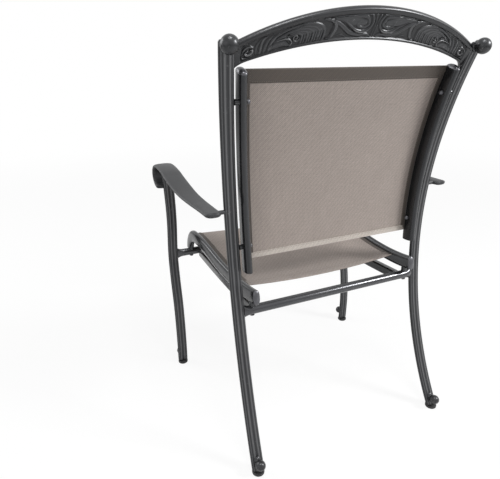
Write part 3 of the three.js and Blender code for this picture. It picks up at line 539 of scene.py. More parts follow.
def toe_ball(line, way):
    """radius(s) = the smooth larger of neck 6 + 3.5 * exp(-(s - 5) / 2.5) and the ball's
    circle, along the way from the bar's middle."""
    s = np.linspace(0, TOE_REACH + TOE_RADIUS, 46)
    neck = 6 + 3.5 * np.exp(-np.maximum(s - 5, 0) / 2.5) - 0.6 * np.maximum(s - 24, 0)
    ball = np.sqrt(np.maximum(TOE_RADIUS**2 - (s - TOE_REACH) ** 2, 0))
    profile = np.stack([(np.maximum(neck, 0) ** 8 + ball**8) ** (1 / 8), s], -1)
    profile[[0, -1], 0] = 0
    return turned(profile, (*place_on(line, TOE_HEIGHT), TOE_HEIGHT), (0, way, 0), 36)


back_post = bar(post_line, POST_TOP, BAR_ROUND)
front_leg = bar(leg_line, LEG_TOP, 0)
for name, main, others in (("back_post", back_post, [finial(), toe_ball(post_line, 1)]),
                           ("front_leg", front_leg, [toe_ball(leg_line, -1)])):
    whole = join(main, *others)
    shade_and_wear = bar_shade_and_wear(len(whole[0]), len(main[0]))
    place_pair(name, whole, carved_pewter, shade_and_wear=shade_and_wear)

# %% [markdown]
# ## Arms
# Each arm is one flat strip, level beside the post, then rising to a crown and curling down
# to the front of the leg. Its section is a soft lens, wider towards the front. A short round
# neck joins it to the post. Its flat top is a little duller than the tubes, from weather.

# %% Arm strip
ARM_THICK, ARM_TOP, ARM_CROWN, ARM_BEND, ARM_END = 11, 604, 33, -87, 12
ARM_INNER, ARM_CORNER = 285, 11
ARM_MIDDLE = ARM_TOP - ARM_THICK / 2
NECK_START, NECK_END, NECK_RADIUS = 271, 292, 4.6
SCROLL_REACH, SCROLL_DEPTH = 45.5, 68
SCROLL_LOW = ARM_TOP + ARM_CROWN - SCROLL_DEPTH + ARM_THICK / 2
CROWN_Y = place_on(leg_line, SCROLL_LOW)[1] - BAR_DEPTH / 2 + 3
ARM_RISE = [(0.226, 0.09), (0.444, 0.36), (0.625, 0.64), (0.747, 0.85), (0.889, 0.985)]


def arm_path():
    """Level run, rise through shares of the way and the lift, then half an ellipse."""
    flat = [[0, y, ARM_MIDDLE] for y in np.linspace(ARM_END, ARM_BEND, 7)]
    rise = [[0, ARM_BEND + (CROWN_Y - ARM_BEND) * f, ARM_MIDDLE + ARM_CROWN * u] for f, u in ARM_RISE]
    t = np.linspace(0, np.pi, 11)
    curl_y = CROWN_Y - (SCROLL_REACH - ARM_THICK / 2) * np.sin(t)
    curl_z = SCROLL_LOW + (SCROLL_DEPTH / 2 - ARM_THICK / 2) * (1 + np.cos(t))
    curl = np.stack([0 * t, curl_y, curl_z], -1)
    shares = np.concatenate([np.linspace(0, 0.03, 9)[:-1], np.linspace(0.03, 1, 120)])
    return resample(through_places(flat + rise + curl.tolist()), shares)


def arm_strip():
    """Half width grows from 17.5 to 25, less a quarter circle of 11 at the rear corners."""
    path = arm_path()
    from_end = ARM_END - path[:, 1]
    grown = smooth(from_end, 0, ARM_END - (CROWN_Y + ARM_BEND - SCROLL_REACH) / 2)
    width = 35 + 15 * grown
    corner = np.maximum(ARM_CORNER - from_end, 0)
    half = width / 2 - (ARM_CORNER - np.sqrt(ARM_CORNER**2 - corner**2))
    end_thin = np.clip(from_end / 4, 0, 1) ** 0.5 * 0.35 + 0.65
    outline = oval(64, 1, ARM_THICK / 2, 2.7)[None] * np.stack([half, end_thin], -1)[:, None]
    rings = sweep(path, outline)
    rings[..., 0] += (ARM_INNER + width / 2)[:, None]
    return ring_stack(rings)


def rod(start, end_x, radius, flare, sides=28):
    """Straight round rod along X whose radius grows by flare * (2 s - 1) ** 8 towards its ends."""
    s = np.linspace(0, 1, 17)
    grow = radius + flare * np.abs(2 * s - 1) ** 8
    run = s * (end_x - start[0])
    rows = [[0, 0], *np.stack([grow, run], -1).tolist(), [0, run[-1]]]
    return turned(rows, start, (1, 0, 0), sides)


neck_y = place_on(post_line, ARM_MIDDLE)[1]
arm_neck = rod((NECK_START, neck_y, ARM_MIDDLE), NECK_END, NECK_RADIUS, 0.6)
place_pair("arm", join(arm_strip(), arm_neck), arm_pewter)

# %% [markdown]
# ## Crest rail
# The crest is a leaned cast plate between two arcs, with raised rims round a sunk field of
# carved leaves on both faces. The leaves could be pieces laid on a plate, but a casting is
# one skin. So the plate is built as rings of a section along the span, whose thickness is
# read from a height formula, and the leaves grow out of their ground.

# %% The crest's edges
LEAN = np.radians(30)
CREST_HEIGHT, CREST_REACH, CREST_SPAN = 915, 274.25, 268
TOP_RISE, TOP_SAGITTA, LOW_RISE, LOW_SAGITTA = 70.5, 67, 9.5, 49.5
RIM_LOW, RIM_HIGH, RIM_END = 6, 11, 9
FILLET_START, FILLET_RUN, FILLET_DROP, FILLET_FULL = 243, 24, 12, 1.35


def arc_drop(x, sagitta):
    """Drop of a circle's arc at x, for that sagitta at 268 from its middle."""
    radius = (CREST_SPAN**2 + sagitta**2) / (2 * sagitta)
    return radius - np.sqrt(radius**2 - x**2)


def crest_top(x):
    """The upper arc, as a height along the leaned plate."""
    return TOP_RISE - arc_drop(x, TOP_SAGITTA)


def lower_arc(x):
    """The lower arc between the posts' fillets."""
    return LOW_RISE - arc_drop(x, LOW_SAGITTA)


def crest_bottom(x):
    """The lower arc, less a cast fillet that swells down into each post."""
    fillet = np.clip((np.abs(x) - FILLET_START) / FILLET_RUN, 0, FILLET_FULL)
    return lower_arc(x) - FILLET_DROP * fillet**3 / FILLET_FULL**3


def field_edges(x):
    """Lower and upper edge of the sunk field at a place along the span."""
    return lower_arc(x) + RIM_LOW, crest_top(x) - RIM_HIGH


print("crest is", round(float(crest_top(0) - crest_bottom(0)), 1), "tall in the middle")

# %% [markdown]
# The carving is a common leaf scroll, the same on both halves: a rolled lobe beside the
# middle whose tail runs outwards, a stem that sweeps out from under it, a fan of blades bent
# round a small scroll, a rolled leaf, upright blades and a curled boss at the end. It could
# be modelled by hand, but leaves are drawn in strokes. A stroke is a smooth line whose width
# changes along it, raised like half a rod, with or without a vein, and easy to move. Places
# are (distance from the middle, share of the field's height).

# %% Strokes of the carving


def stroke(places, widths, height, vein=0.0):
    """Line, half widths and height of one carved form."""
    line = through_places([[x, q, 0] for x, q in places], 14)[:, :2]
    along = np.linspace(0, 1, len(line))
    low, high = field_edges(line[:, 0])
    line = np.stack([line[:, 0], low + line[:, 1] * (high - low)], -1)
    return line, np.interp(along, np.linspace(0, 1, len(widths)), widths), height, vein


carving = [
    stroke([(92, 0.88), (64, 0.76), (44, 0.68), (26, 0.62)], [2.0, 6.4, 8.6, 6.0], 1.5, 0.5),
    stroke([(106, 0.97), (80, 0.96), (54, 0.985), (28, 0.985), (12, 0.88), (8, 0.64), (12, 0.40), (27, 0.25),
            (43, 0.33), (56, 0.52), (74, 0.74), (96, 0.89)],
           [0.8, 2.2, 2.6, 2.8, 2.8, 3.0, 2.8, 2.2, 0.8], 2.6, 0.4),
    stroke([(98, 0.90), (72, 0.86), (50, 0.87), (31, 0.87), (19, 0.76), (16, 0.58), (23, 0.44), (36, 0.45),
            (42, 0.58), (36, 0.68)], [0.8, 2.8, 3.3, 3.3, 2.8, 2.2, 1.0], 2.2, 0.5),
    stroke([(11, 0.40), (18, 0.27), (29, 0.22), (41, 0.29), (49, 0.40)], [0.5, 1.5, 1.9, 1.5, 0.5], 3.5),
    stroke([(2.4, 0.02), (2.4, 0.55), (5, 0.96)], [1.6, 1.6, 2.4], 2.6),
    stroke([(4, 0.04), (16, 0.13), (34, 0.12), (54, 0.24), (68, 0.46), (84, 0.70), (108, 0.90)],
           [1.2, 2.8, 3.6, 4.4, 4.4, 3.6, 1.4], 2.7, 0.9),
    stroke([(112, 0.94), (94, 0.80), (85, 0.52), (88, 0.24), (99, 0.04)],
           [1.4, 3.4, 4.0, 3.8, 1.8], 3.1, 0.9),
    stroke([(58, 0.04), (70, 0.16), (80, 0.12)], [0.8, 1.8, 0.8], 1.2),
]
print("strokes beside the middle:", len(carving))

# %% [markdown]
# The fan is a family of touching blades. Each stands upright on the lower rim, then bends as
# part of an ellipse over the small scroll, so that the blades nest like ribs of a shell. One
# formula with the blade's number in it keeps their gaps even, as nine drawn ones would not.

# %% The fan and the round scroll
SCROLL_X, SCROLL_SHARE, FAN_BLADES = 160, 0.40, 9


def fan_blade(k):
    """Upright foot at SCROLL_X - a, then (x, q) = (SCROLL_X - a cos t, SCROLL_SHARE + b sin t),
    with a from 54 down to 11 and b from 0.54 down to 0.16. Every other blade lies lower."""
    inward = k / (FAN_BLADES - 1)
    a, b = 54 - 43 * inward, 0.54 - 0.38 * inward
    foot = [(SCROLL_X - a + 2, 0.03), (SCROLL_X - a, 0.22)]
    turn = np.linspace(0, np.radians(96 + 60 * inward), 7)
    bend = [(SCROLL_X - a * np.cos(t), SCROLL_SHARE + b * np.sin(t)) for t in turn]
    return stroke(foot + bend, [1.6, 2.6, 2.7, 2.6, 2.2, 1.4, 0.5], 2.9 - 0.7 * (k % 2), 0.5)


def spiral(q, turns, radius, width, height, start):
    """About SCROLL_X and the share q, with radius * (1 - 0.78 s) over the turns, s from 0 to 1."""
    s = np.linspace(0, 1, int(16 * turns) + 6)
    angle = start + s * turns * 2 * np.pi
    reach = radius * (1 - 0.78 * s)
    low, high = field_edges(SCROLL_X)
    middle = low + q * (high - low)
    line = np.stack([SCROLL_X + reach * np.cos(angle), middle + reach * np.sin(angle)], -1)
    return line, np.interp(s, [0, 0.3, 1], [0.5 * width, width, 0.8 * width]), height, 0.0


carving += [fan_blade(k) for k in range(FAN_BLADES)]
carving += [
    spiral(0.38, 1.4, 7.5, 2.1, 3.2, start=2.4),
    stroke([(112, 0.985), (136, 0.96), (162, 0.91), (187, 0.80), (207, 0.60)],
           [0.8, 2.4, 2.8, 2.6, 1.0], 2.3, 0.4),
    stroke([(152, 0.82), (172, 0.74), (190, 0.60), (206, 0.38)], [0.8, 2.6, 2.8, 1.2], 2.7, 0.5),
]
print("strokes with the fan:", len(carving))

# %% Rolled leaf, blades and boss


def blade(foot, bow, tip, width, height):
    """A veined leaf blade from foot to tip through a bowed middle, widest at a third."""
    return stroke([foot, bow, tip], [0.5 * width, width, 0.85 * width, 0.2 * width], height, 0.6)


carving += [
    stroke([(172, 0.10), (182, 0.24), (196, 0.24), (207, 0.12)], [3.0, 6.4, 6.2, 2.4], 2.3, 0.5),
    stroke([(170, 0.02), (167, 0.20), (172, 0.38), (184, 0.47), (200, 0.46)], [1.0, 1.8, 2.0, 1.6, 0.6], 3.5),
    stroke([(174, 0.52), (188, 0.56), (203, 0.50)], [0.8, 1.7, 0.7], 2.2),
    blade((209, 0.05), (206, 0.44), (194, 0.84), 3.7, 3.0),
    blade((217, 0.05), (215, 0.46), (203, 0.90), 3.6, 2.6),
    blade((224, 0.08), (224, 0.48), (214, 0.93), 3.4, 3.0),
    blade((231, 0.12), (232, 0.46), (225, 0.92), 2.8, 2.3),
    stroke([(238, 0.58), (245, 0.72), (254, 0.68), (258, 0.46), (256, 0.20), (247, 0.07), (239, 0.12)],
           [1.2, 2.0, 2.2, 2.2, 2.2, 1.8, 0.8], 3.0),
    stroke([(243, 0.50), (238, 0.38), (241, 0.26), (249, 0.27), (252, 0.40), (248, 0.50)],
           [1.2, 2.4, 3.0, 2.8, 2.0, 1.2], 3.4),
    stroke([(236, 0.93), (246, 0.96), (256, 0.90)], [0.8, 1.6, 0.8], 1.9),
]
cuts = [
    stroke([(150, 0.88), (176, 0.78), (194, 0.62), (208, 0.30)], [0.6, 1.1, 1.2, 0.6], 2.0),
    stroke([(104, 0.90), (92, 0.70), (92, 0.40), (101, 0.06)], [0.5, 1.0, 1.1, 0.6], 2.0),
    stroke([(56, 0.44), (70, 0.68), (92, 0.87)], [0.5, 0.9, 0.5], 1.6),
]
print("strokes:", len(carving), "cuts:", len(cuts))

# %% [markdown]
# The height at a grid point is the largest of the strokes there. For each stroke only the
# grid points near it are measured against the points of its line, all at once, which is far
# quicker than a search point by point.

# %% Carved height


def carved(x, h):
    """max over strokes of height * sqrt(1 - (d / w) ** 2), less the vein, where d is the
    distance to the nearest point of the line and w its half width there. Cuts are then taken
    away as height * exp(-(d / w) ** 2)."""
    flat_x, flat_h = np.abs(x).ravel(), h.ravel()
    total = np.zeros(flat_x.size)
    for number, (line, widths, height, vein) in enumerate(carving + cuts):
        pad = widths.max() + 1
        low, high = line.min(0) - pad, line.max(0) + pad
        beside = (flat_x > low[0]) & (flat_x < high[0])
        near = np.flatnonzero(beside & (flat_h > low[1]) & (flat_h < high[1]))
        gap = np.hypot(flat_x[near, None] - line[:, 0], flat_h[near, None] - line[:, 1])
        nearest = gap.argmin(1)
        d, w = gap[np.arange(len(near)), nearest], widths[nearest]
        lift = height * np.sqrt(np.clip(1 - (d / w) ** 2, 0, 1)) - vein * bell(d, 0.7)
        cut = np.maximum(total[near] - height * bell(d, w), -0.6)
        total[near] = np.maximum(total[near], lift) if number < len(carving) else cut
    return total.reshape(x.shape)


print("height over the first lobe:", carved(np.array([33.0]), np.array([26.4])).round(2))

# %% The crest as rings
RIM_HALF, FIELD_HALF, EDGE_ROUND = 6.5, 3.3, 4.5


def crest_section():
    """Rings along the span. One side's points run up the rear face and back down the front
    face. Half thickness = 6.5 on the rims, 3.3 in the field plus the carving, and a quarter
    circle of 4.5 at both edges."""
    x = np.linspace(-CREST_REACH, CREST_REACH, 640)
    edge = np.array([0, 0.12, 0.5, 1.1, 1.9, 2.9, 4.0])
    top, bottom = crest_top(x)[:, None], crest_bottom(x)[:, None]
    inner = bottom + 4.6 + np.linspace(0, 1, 62) * (top - bottom - 9.2)
    h = np.hstack([bottom + edge, inner, top - edge[::-1]])
    low, high = (e[:, None] for e in field_edges(x))
    to_end = CREST_SPAN - RIM_END - np.abs(x)[:, None] + 0 * h
    wave = (h - low, high - h, to_end)
    inside = np.prod([smooth(w, -1.2, 1.4) for w in wave], axis=0)
    settle = np.prod([smooth(w, 0.2, 3.0) for w in wave], axis=0)
    rim = RIM_HALF + 0.5 * bell(high + 5.5 - h, 3.5) - 0.6 * bell(high + 1.6 - h, 1.1)
    half = rim * (1 - inside) + (FIELD_HALF + carved(x[:, None] + 0 * h, h) * settle) * inside
    near_edge = np.clip(np.minimum(h - bottom, top - h) / EDGE_ROUND, 0, 1)
    half = half * np.sqrt(np.clip(1 - (1 - near_edge) ** 2, 0, 1))
    # Painted shade and highlight: the ground and low carving take mostly the hollow shade colour, high
    # carving a painted highlight with some rubbing, and the rims at 0.30 take a third of the hollow shade.
    shade_and_wear = np.where(inside > 0.5, np.clip((half - 2.6) / 4.3, 0, 1), 0.30)
    return x, h, half, shade_and_wear


def crest_shell():
    """(x, h, n) to space: y = y0 + h sin(lean) + n cos(lean), z = 915 + h cos(lean) - n sin(lean).
    The shade-and-wear values of the points, for painted shade and highlights, come with it."""
    x, h, half, shade_and_wear = crest_section()
    h, shade_and_wear = (np.hstack([rows, rows[:, -2:0:-1]]) for rows in (h, shade_and_wear))
    n = np.hstack([half, -half[:, -2:0:-1]])
    y = place_on(post_line, CREST_HEIGHT)[1] + h * np.sin(LEAN) + n * np.cos(LEAN)
    z = CREST_HEIGHT + h * np.cos(LEAN) - n * np.sin(LEAN)
    return ring_stack(np.stack([x[:, None] + 0 * h, y, z], -1)), np.append(shade_and_wear.ravel(), [0.7, 0.7])


crest, crest_shade_and_wear = crest_shell()
place_mesh("crest_rail_dressed", crest, carved_pewter, ["crest_rail"], 70, crest_shade_and_wear)

# %% [markdown]
# ## Crossbars, stretchers and rails
# The crossbars are round tubes whose cast ends swell up and down into the bars. The
# stretchers under the seat are rounded rectangles. The sling rails are bent oval tubes. A
# tube and a separate casting would meet in a hard line, so each crossbar is one stack of
# rings that grow towards its ends. The others are plain sweeps, as extruded tubes are.

# %% Crossbars
REAR_BAR_Z, FRONT_BAR_Z, BAR_RADIUS, SWELL_LENGTH = 360, 355, 11, 20


def crossbar(line, height):
    """Half height 11 + 6 * swell ** 2.4 and half depth from 11 to the bar's, where swell runs
    from 0 to 1 over the last 20 of the length."""
    bar_x, bar_y = place_on(line, height)
    reach = bar_x - BAR_WIDTH / 2 + 1.5
    start = reach - SWELL_LENGTH - 2
    end = np.linspace(start, reach, 16)
    x = np.concatenate([-end[::-1], np.linspace(-start, start, 9)[1:-1], end])
    swell = np.clip((np.abs(x) - reach + SWELL_LENGTH) / SWELL_LENGTH, 0, 1)[:, None]
    outline = oval(48, 1, 1)
    y = bar_y + outline[:, 0] * (BAR_RADIUS + (BAR_DEPTH / 2 - BAR_RADIUS) * swell**1.6)
    z = height + outline[:, 1] * (BAR_RADIUS + 6 * swell**2.4)
    return ring_stack(np.stack([x[:, None] + 0 * y, y, z], -1))


for name, line, height in (("rear_crossbar", post_line, REAR_BAR_Z),
                           ("front_crossbar", leg_line, FRONT_BAR_Z)):
    # The crossbars take the lighter copy of the coat, which is painted light.
    place_mesh(f"{name}_dressed", crossbar(line, height), lit_tube_pewter, [name], sharp=50)

# %% Stretchers and rail tubes
STRETCHER_X, STRETCHER_ENDS = 209, (-7.0, -400.4)
RAIL_HALF_WIDTH, RAIL_HALF_DEPTH, RAIL_POWER = 8.5, 18, 2.5
RAIL_LOW, RAIL_HIGH, RAIL_INSET, RAIL_BEHIND = 457, 868, 28.5, 6
SEAT_REAR, SEAT_FRONT = (218.7, 25, 392.5), (240, -416, 366)
SEAT_CROWN, NOSE_RADIUS = 416, 55
SEAT_LINE = [(0, 0.33), (0.09, 0.14), (0.22, 0), (0.4, 0.04), (0.58, 0.29), (0.74, 0.66), (0.88, 0.93),
             (1, 1)]  # shares of the way forward and of the lift


def stretcher():
    """A 20 by 22 superellipse of power 6, hung 7 under the crossbars and sagging 4 more."""
    s = np.linspace(0, 1, 40)
    z = REAR_BAR_Z - (REAR_BAR_Z - FRONT_BAR_Z) * s - 7 - 4 * np.sin(np.pi * s)
    path = np.stack([STRETCHER_X + 0 * s, np.linspace(*STRETCHER_ENDS, 40), z], -1)
    return ring_stack(sweep(path, oval(48, 10, 11, 6)))


def back_rail_line(z):
    """Beside the post's line: 28.5 to 30.5 inside it, and from 6 behind it to 4 ahead of it."""
    x, y = post_line(z)
    climb = (np.asarray(z, float) - RAIL_LOW) / (RAIL_HIGH - RAIL_LOW)
    return x - RAIL_INSET - 2 * climb, y + RAIL_BEHIND - 10 * climb


def seat_rail_path():
    """Shares of the way forward and of the lift, then an arc of radius 55 down to the crossbar."""
    (rear_x, rear_y, rear_z), (front_x, front_y, front_z) = SEAT_REAR, SEAT_FRONT
    nose_y, nose_z = front_y + NOSE_RADIUS, SEAT_CROWN - NOSE_RADIUS
    main = [(rear_y + (nose_y - rear_y) * f, rear_z + (SEAT_CROWN - rear_z) * u) for f, u in SEAT_LINE]
    t = np.linspace(0, np.arccos((front_z - nose_z) / NOSE_RADIUS), 9)[1:]
    nose = np.stack([nose_y - NOSE_RADIUS * np.sin(t), nose_z + NOSE_RADIUS * np.cos(t)], -1)
    rows = np.vstack([main, nose])
    x = rear_x + (front_x - rear_x) * (rear_y - rows[:, 0]) / (rear_y - front_y)
    return resample(through_places(np.column_stack([x, rows])), np.linspace(0, 1, 110))


rail_oval = oval(56, RAIL_HALF_WIDTH, RAIL_HALF_DEPTH, RAIL_POWER)
rail_heights = np.linspace(RAIL_LOW, RAIL_HIGH, 80)
back_rail_path = np.column_stack([*back_rail_line(rail_heights), rail_heights])
seat_path = seat_rail_path()
for name, tube in (("side_stretcher", stretcher()),
                   ("back_rail", ring_stack(sweep(back_rail_path, rail_oval))),
                   ("seat_rail", ring_stack(sweep(seat_path, rail_oval)))):
    place_pair(name, tube, pewter, sharp=50)

# %% [markdown]
# ## Plugs, nuts, collars and glides
# The rails' ends are closed by plugs, bright ones where they show. A plug could be half an
# ellipsoid, but it would not fit the rail's rounder outline, so each is the rail's own oval
# shrunk as a quarter circle rises. Nuts, collars and glides are round, so they are turned.

# %% Domes on the rails' ends


def dome(path, height):
    """Oval * cos t at distance height * sin t past the path's last point, over a straight lip."""
    tip = path[-1]
    along = unit(tip - path[-2])
    across = unit(np.array([1.0, 0, 0]) - along * along[0])
    rise = np.cross(along, across)
    t = np.linspace(0, np.pi / 2, 16)[1:-1]
    size = np.concatenate([[0.96, 1.0, 1.0], np.cos(t)])
    out = np.concatenate([[0.1, 0.3, 0.8], 0.8 + (height - 0.8) * np.sin(t)])
    outline = rail_oval[None] * size[:, None, None]
    middles = tip + along * out[:, None]
    rings = middles[:, None] + outline[..., :1] * across + outline[..., 1:] * rise
    return ring_stack(rings, ends=(tip + along * 0.1, tip + along * height))


top_dome, foot_dome = dome(back_rail_path, 9.3), dome(back_rail_path[::-1], 3.3)
place_pair("back_rail_dome_plug", top_dome, bright_pewter)
place_pair("back_rail_foot_plug", foot_dome, black_nylon)
place_pair("seat_rail_plug", dome(seat_path[::-1], 7.3), bright_pewter)

# %% Nuts, collars and glides
FIXING_HEIGHTS = {"low": 514, "high": 818}
GLIDE = [[0, 0], [11.6, 0], [13.2, 0.5], [14.2, 1.6], [14.5, 3], [14.5, 6.4], [14.1, 7.5], [13.2, 8.0],
         [6, 8.0], [0, 8.0]]


def glide(line):
    """Turned foot: flat underneath, rounded edge, radius 14.5, with a small lip at its top."""
    return turned(GLIDE, (*place_on(line, BAR_BOTTOM), 0), (0, 0, 1), 40)


def back_fixing(height):
    """Dome nut on the rail's inner side and collar between rail and post, round one stud."""
    rail_x, _ = place_on(back_rail_line, height)
    post_x, post_y = place_on(post_line, height)
    y = post_y + 2
    t = np.linspace(0, np.pi / 2, 9)[1:-1]
    ball = np.stack([5 * np.cos(t), 3 + 5 * np.sin(t)], -1)
    nut = [[0, 0.2], [4.6, 0.2], [5, 0.6], [5, 3], *ball.tolist(), [0, 8]]
    collar = rod((rail_x + 7, y, height), post_x - BAR_WIDTH / 2 + 1.5, 5.8, 0.5)
    return turned(nut, (rail_x - RAIL_HALF_WIDTH, y, height), (-1, 0, 0), 28), collar


for level, height in FIXING_HEIGHTS.items():
    nut, collar = back_fixing(height)
    place_pair(f"{level}_back_nut", nut, bright_pewter)
    place_pair(f"{level}_back_collar", collar, pewter)
place_pair("rear_glide", glide(post_line), black_nylon)
place_pair("front_glide", glide(leg_line), black_nylon)

# %% Solids that stay, with the new finishes
plain = {"frame_coat": pewter, "fittings": bright_pewter, "black_plastic": black_nylon}
slot_of = {row["node"]: row["material_slot"] for row in frame["record"]["subparts"]}
for name, node in frame["nodes"].items():
    if slot_of[name] in plain:
        node.data.materials.clear()
        node.data.materials.append(plain[slot_of[name]])
print("finish set on", len(frame["nodes"]), "solids")

# %% [markdown]
# ## Sling cloth
# The slings are a taupe mesh of coated yarn. Thousands of modelled yarns would be too heavy
# for a chair, and a picture of a weave would repeat. So the weave is worked out from the
# sheet's own UV map, in metres, and follows the cloth. Warp and weft are rounded ridges that
# pass over each other in turn, with small dark holes where four of them meet.

# %% Weave group
CLOTH_PITCH = 0.0020  # metres from yarn to yarn


def make_weave():
    """warp = |sin(pi u / p)| * (0.62 + 0.38 * s), weft = |sin(pi v / p)| * (0.62 - 0.38 * s),
    where s = sin(pi v / p + pi * floor(u / p)), and the height is the larger of the two."""
    inputs = [("Vector", "NodeSocketVector", None), ("Pitch", "NodeSocketFloat", CLOTH_PITCH)]
    group, given, out = new_group("sling_weave", inputs, ["Height", "Hole", "Yarn", "Slub"])
    place = given.outputs["Vector"]
    split = wire(group, "ShaderNodeSeparateXYZ", {0: place})
    u, v = (calc(group, "DIVIDE", split.outputs[i], given.outputs["Pitch"]) for i in range(2))
    turns = [calc(group, "MULTIPLY", share, np.pi) for share in (u, v)]
    warp, weft = (calc(group, "ABSOLUTE", calc(group, "SINE", turn)) for turn in turns)
    phase = calc(group, "MULTIPLY", calc(group, "ADD", v, calc(group, "FLOOR", u)), np.pi)
    over = calc(group, "SINE", phase)
    warp_up = calc(group, "MULTIPLY", warp, calc(group, "MULTIPLY_ADD", over, 0.38, 0.62))
    weft_up = calc(group, "MULTIPLY", weft, calc(group, "MULTIPLY_ADD", over, -0.38, 0.62))
    hole = remap(group, calc(group, "MAXIMUM", warp, weft), 0.42, 0.2)
    slubs = []
    for counts in ((30.0, 380.0, 1.0), (380.0, 18.0, 1.0)):
        stretch = wire(group, "ShaderNodeMapping", {"Vector": place, "Scale": counts})
        slubs.append(noise(group, stretch.outputs[0], 1.0, 2.0))
    results = {
        "Height": calc(group, "MAXIMUM", warp_up, weft_up),
        "Hole": hole,
        "Yarn": calc(group, "GREATER_THAN", warp_up, weft_up),
        "Slub": calc(group, "MULTIPLY", calc(group, "ADD", *slubs), 0.5),
    }
    for socket, value in results.items():
        group.links.new(value, out.inputs[socket])
    return group


sling_weave = make_weave()
print("group:", sling_weave.name, "nodes:", len(sling_weave.nodes))

# %% Sling material


def make_cloth(name, warp_colour, weft_colour, hole_colour, soil):
    """Yarn colours by the weave, darkened in the holes and by broad uneven soiling, with painted
    shade within 65 of the side seams, and faint slanting bands where the two yarn counts beat."""
    material, tree, shader = new_material(name)
    uv = wire(tree, "ShaderNodeUVMap", uv_map="cloth").outputs[0]
    weave = wire(tree, "ShaderNodeGroup", node_tree=sling_weave)
    tree.links.new(uv, weave.inputs["Vector"])
    weave.inputs["Pitch"].default_value = CLOTH_PITCH
    height, hole, yarn, slub = (weave.outputs[key] for key in ("Height", "Hole", "Yarn", "Slub"))
    beat = {"Vector": uv, "Scale": 52.0, "Distortion": 0.8, "Detail": 2.0, "Detail Scale": 3.0}
    bands = wire(tree, "ShaderNodeTexWave", beat, bands_direction="DIAGONAL").outputs["Fac"]
    across = wire(tree, "ShaderNodeSeparateXYZ", {0: uv}).outputs[0]
    # Painted shade: the cloth darkens to 0.80 within 65 of the side seams, beside the rails.
    shade = remap(tree, calc(tree, "ABSOLUTE", across), 0.17, 0.235, 1.0, 0.80)
    cloud = noise(tree, uv, 14.0, 4.0)
    for value, spread, least in ((bands, 0.11, 0.89), (slub, 0.72, 0.64), (cloud, soil, 1 - soil / 2)):
        shade = calc(tree, "MULTIPLY", shade, calc(tree, "MULTIPLY_ADD", value, spread, least))
    lit = blend(tree, 1.0, blend(tree, yarn, weft_colour, warp_colour), shade, "MULTIPLY")
    bump = wire(tree, "ShaderNodeBump", {"Strength": 0.5, "Distance": 0.0005, "Height": height})
    tree.links.new(blend(tree, hole, lit, hole_colour), shader.inputs["Base Color"])
    tree.links.new(bump.outputs[0], shader.inputs["Normal"])
    tree.links.new(remap(tree, slub, 0.3, 0.7, 0.55, 0.72), shader.inputs["Roughness"])
    shader.inputs["Sheen Weight"].default_value = 0.12
    return material


TAUPE = ((0.325, 0.276, 0.246), (0.215, 0.181, 0.161), (0.070, 0.056, 0.048))
# The hems' and sleeves' brown is partly the doubled cloth's own tone and partly painted shade.
BROWN_WITH_SHADE = ((0.062, 0.047, 0.036), (0.041, 0.031, 0.024), (0.026, 0.020, 0.015))
# The pale cloth is painted light: the back's lower edge made paler where light falls on its curl.
PAINTED_LIGHT_PALE = ((0.500, 0.450, 0.405), (0.380, 0.340, 0.305), (0.090, 0.075, 0.065))
THREAD = ((0.110, 0.092, 0.080), (0.150, 0.130, 0.115), (0.18, 0.16, 0.14))
sling_cloth = make_cloth("sling_mesh_cloth", *TAUPE, soil=0.16)
hem_cloth = make_cloth("sling_hem_cloth", *BROWN_WITH_SHADE, soil=0.14)
lit_edge_cloth = make_cloth("sling_lit_edge_cloth", *PAINTED_LIGHT_PALE, soil=0.12)
thread = make_coated("seam_thread", *THREAD, (0.6, 0.75), 0.0, 0.3, peel=3000.0)
print("cloths:", sling_cloth.name, hem_cloth.name, lit_edge_cloth.name)

# %% [markdown]
# A sling is a sheet pulled tight between its two rails. A cloth simulation could drape it,
# but a stretched sheet barely moves, so it is a function of two shares: across, from rail to
# rail, and along, from one hem to the other. It gives a place and, by its differences, the
# way the cloth faces. Hems, side sleeves and stitches are laid on the same function.

# %% The two slings as functions
SEAT_TAIL, SEAT_TIP = 63, 14  # bare rail behind the seat's cloth and in front of it
TUCK, FOLD = 4.0, 3.5  # cloth inside each rail, and turned in at each hem
BACK_LOW, BACK_HIGH, BACK_AHEAD, BACK_SLACK = 481, 874, 11, 2.0
SEAT_OVER, SEAT_SAG = 8, 11
BACK_GRIP, SEAT_GRIP = 10.4, 7.4  # how far off the rails' middle the cloth enters them


def edge_inset(offset):
    """How far inside the rail's line its oval side lies at a place that far ahead of it."""
    share = 1 - (offset / RAIL_HALF_DEPTH) ** RAIL_POWER
    return RAIL_HALF_WIDTH * share ** (1 / RAIL_POWER) + 0.3


def back_cloth(u, v):
    """u from -1 to 1 across, v from 0 at the lower hem to 1 at the upper: 11 ahead of the
    rails' line, and giving way by 2 in the middle."""
    z = BACK_LOW + (BACK_HIGH - BACK_LOW) * v
    x, y = back_rail_line(z)
    slack = (1 - u**2) * BACK_SLACK * np.sin(np.pi * np.clip(v, 0, 1))
    return np.stack([(x - edge_inset(BACK_GRIP)) * u, y - BACK_AHEAD + slack, z], -1)


seat_length = np.linalg.norm(np.diff(seat_path, axis=0), axis=1).sum()


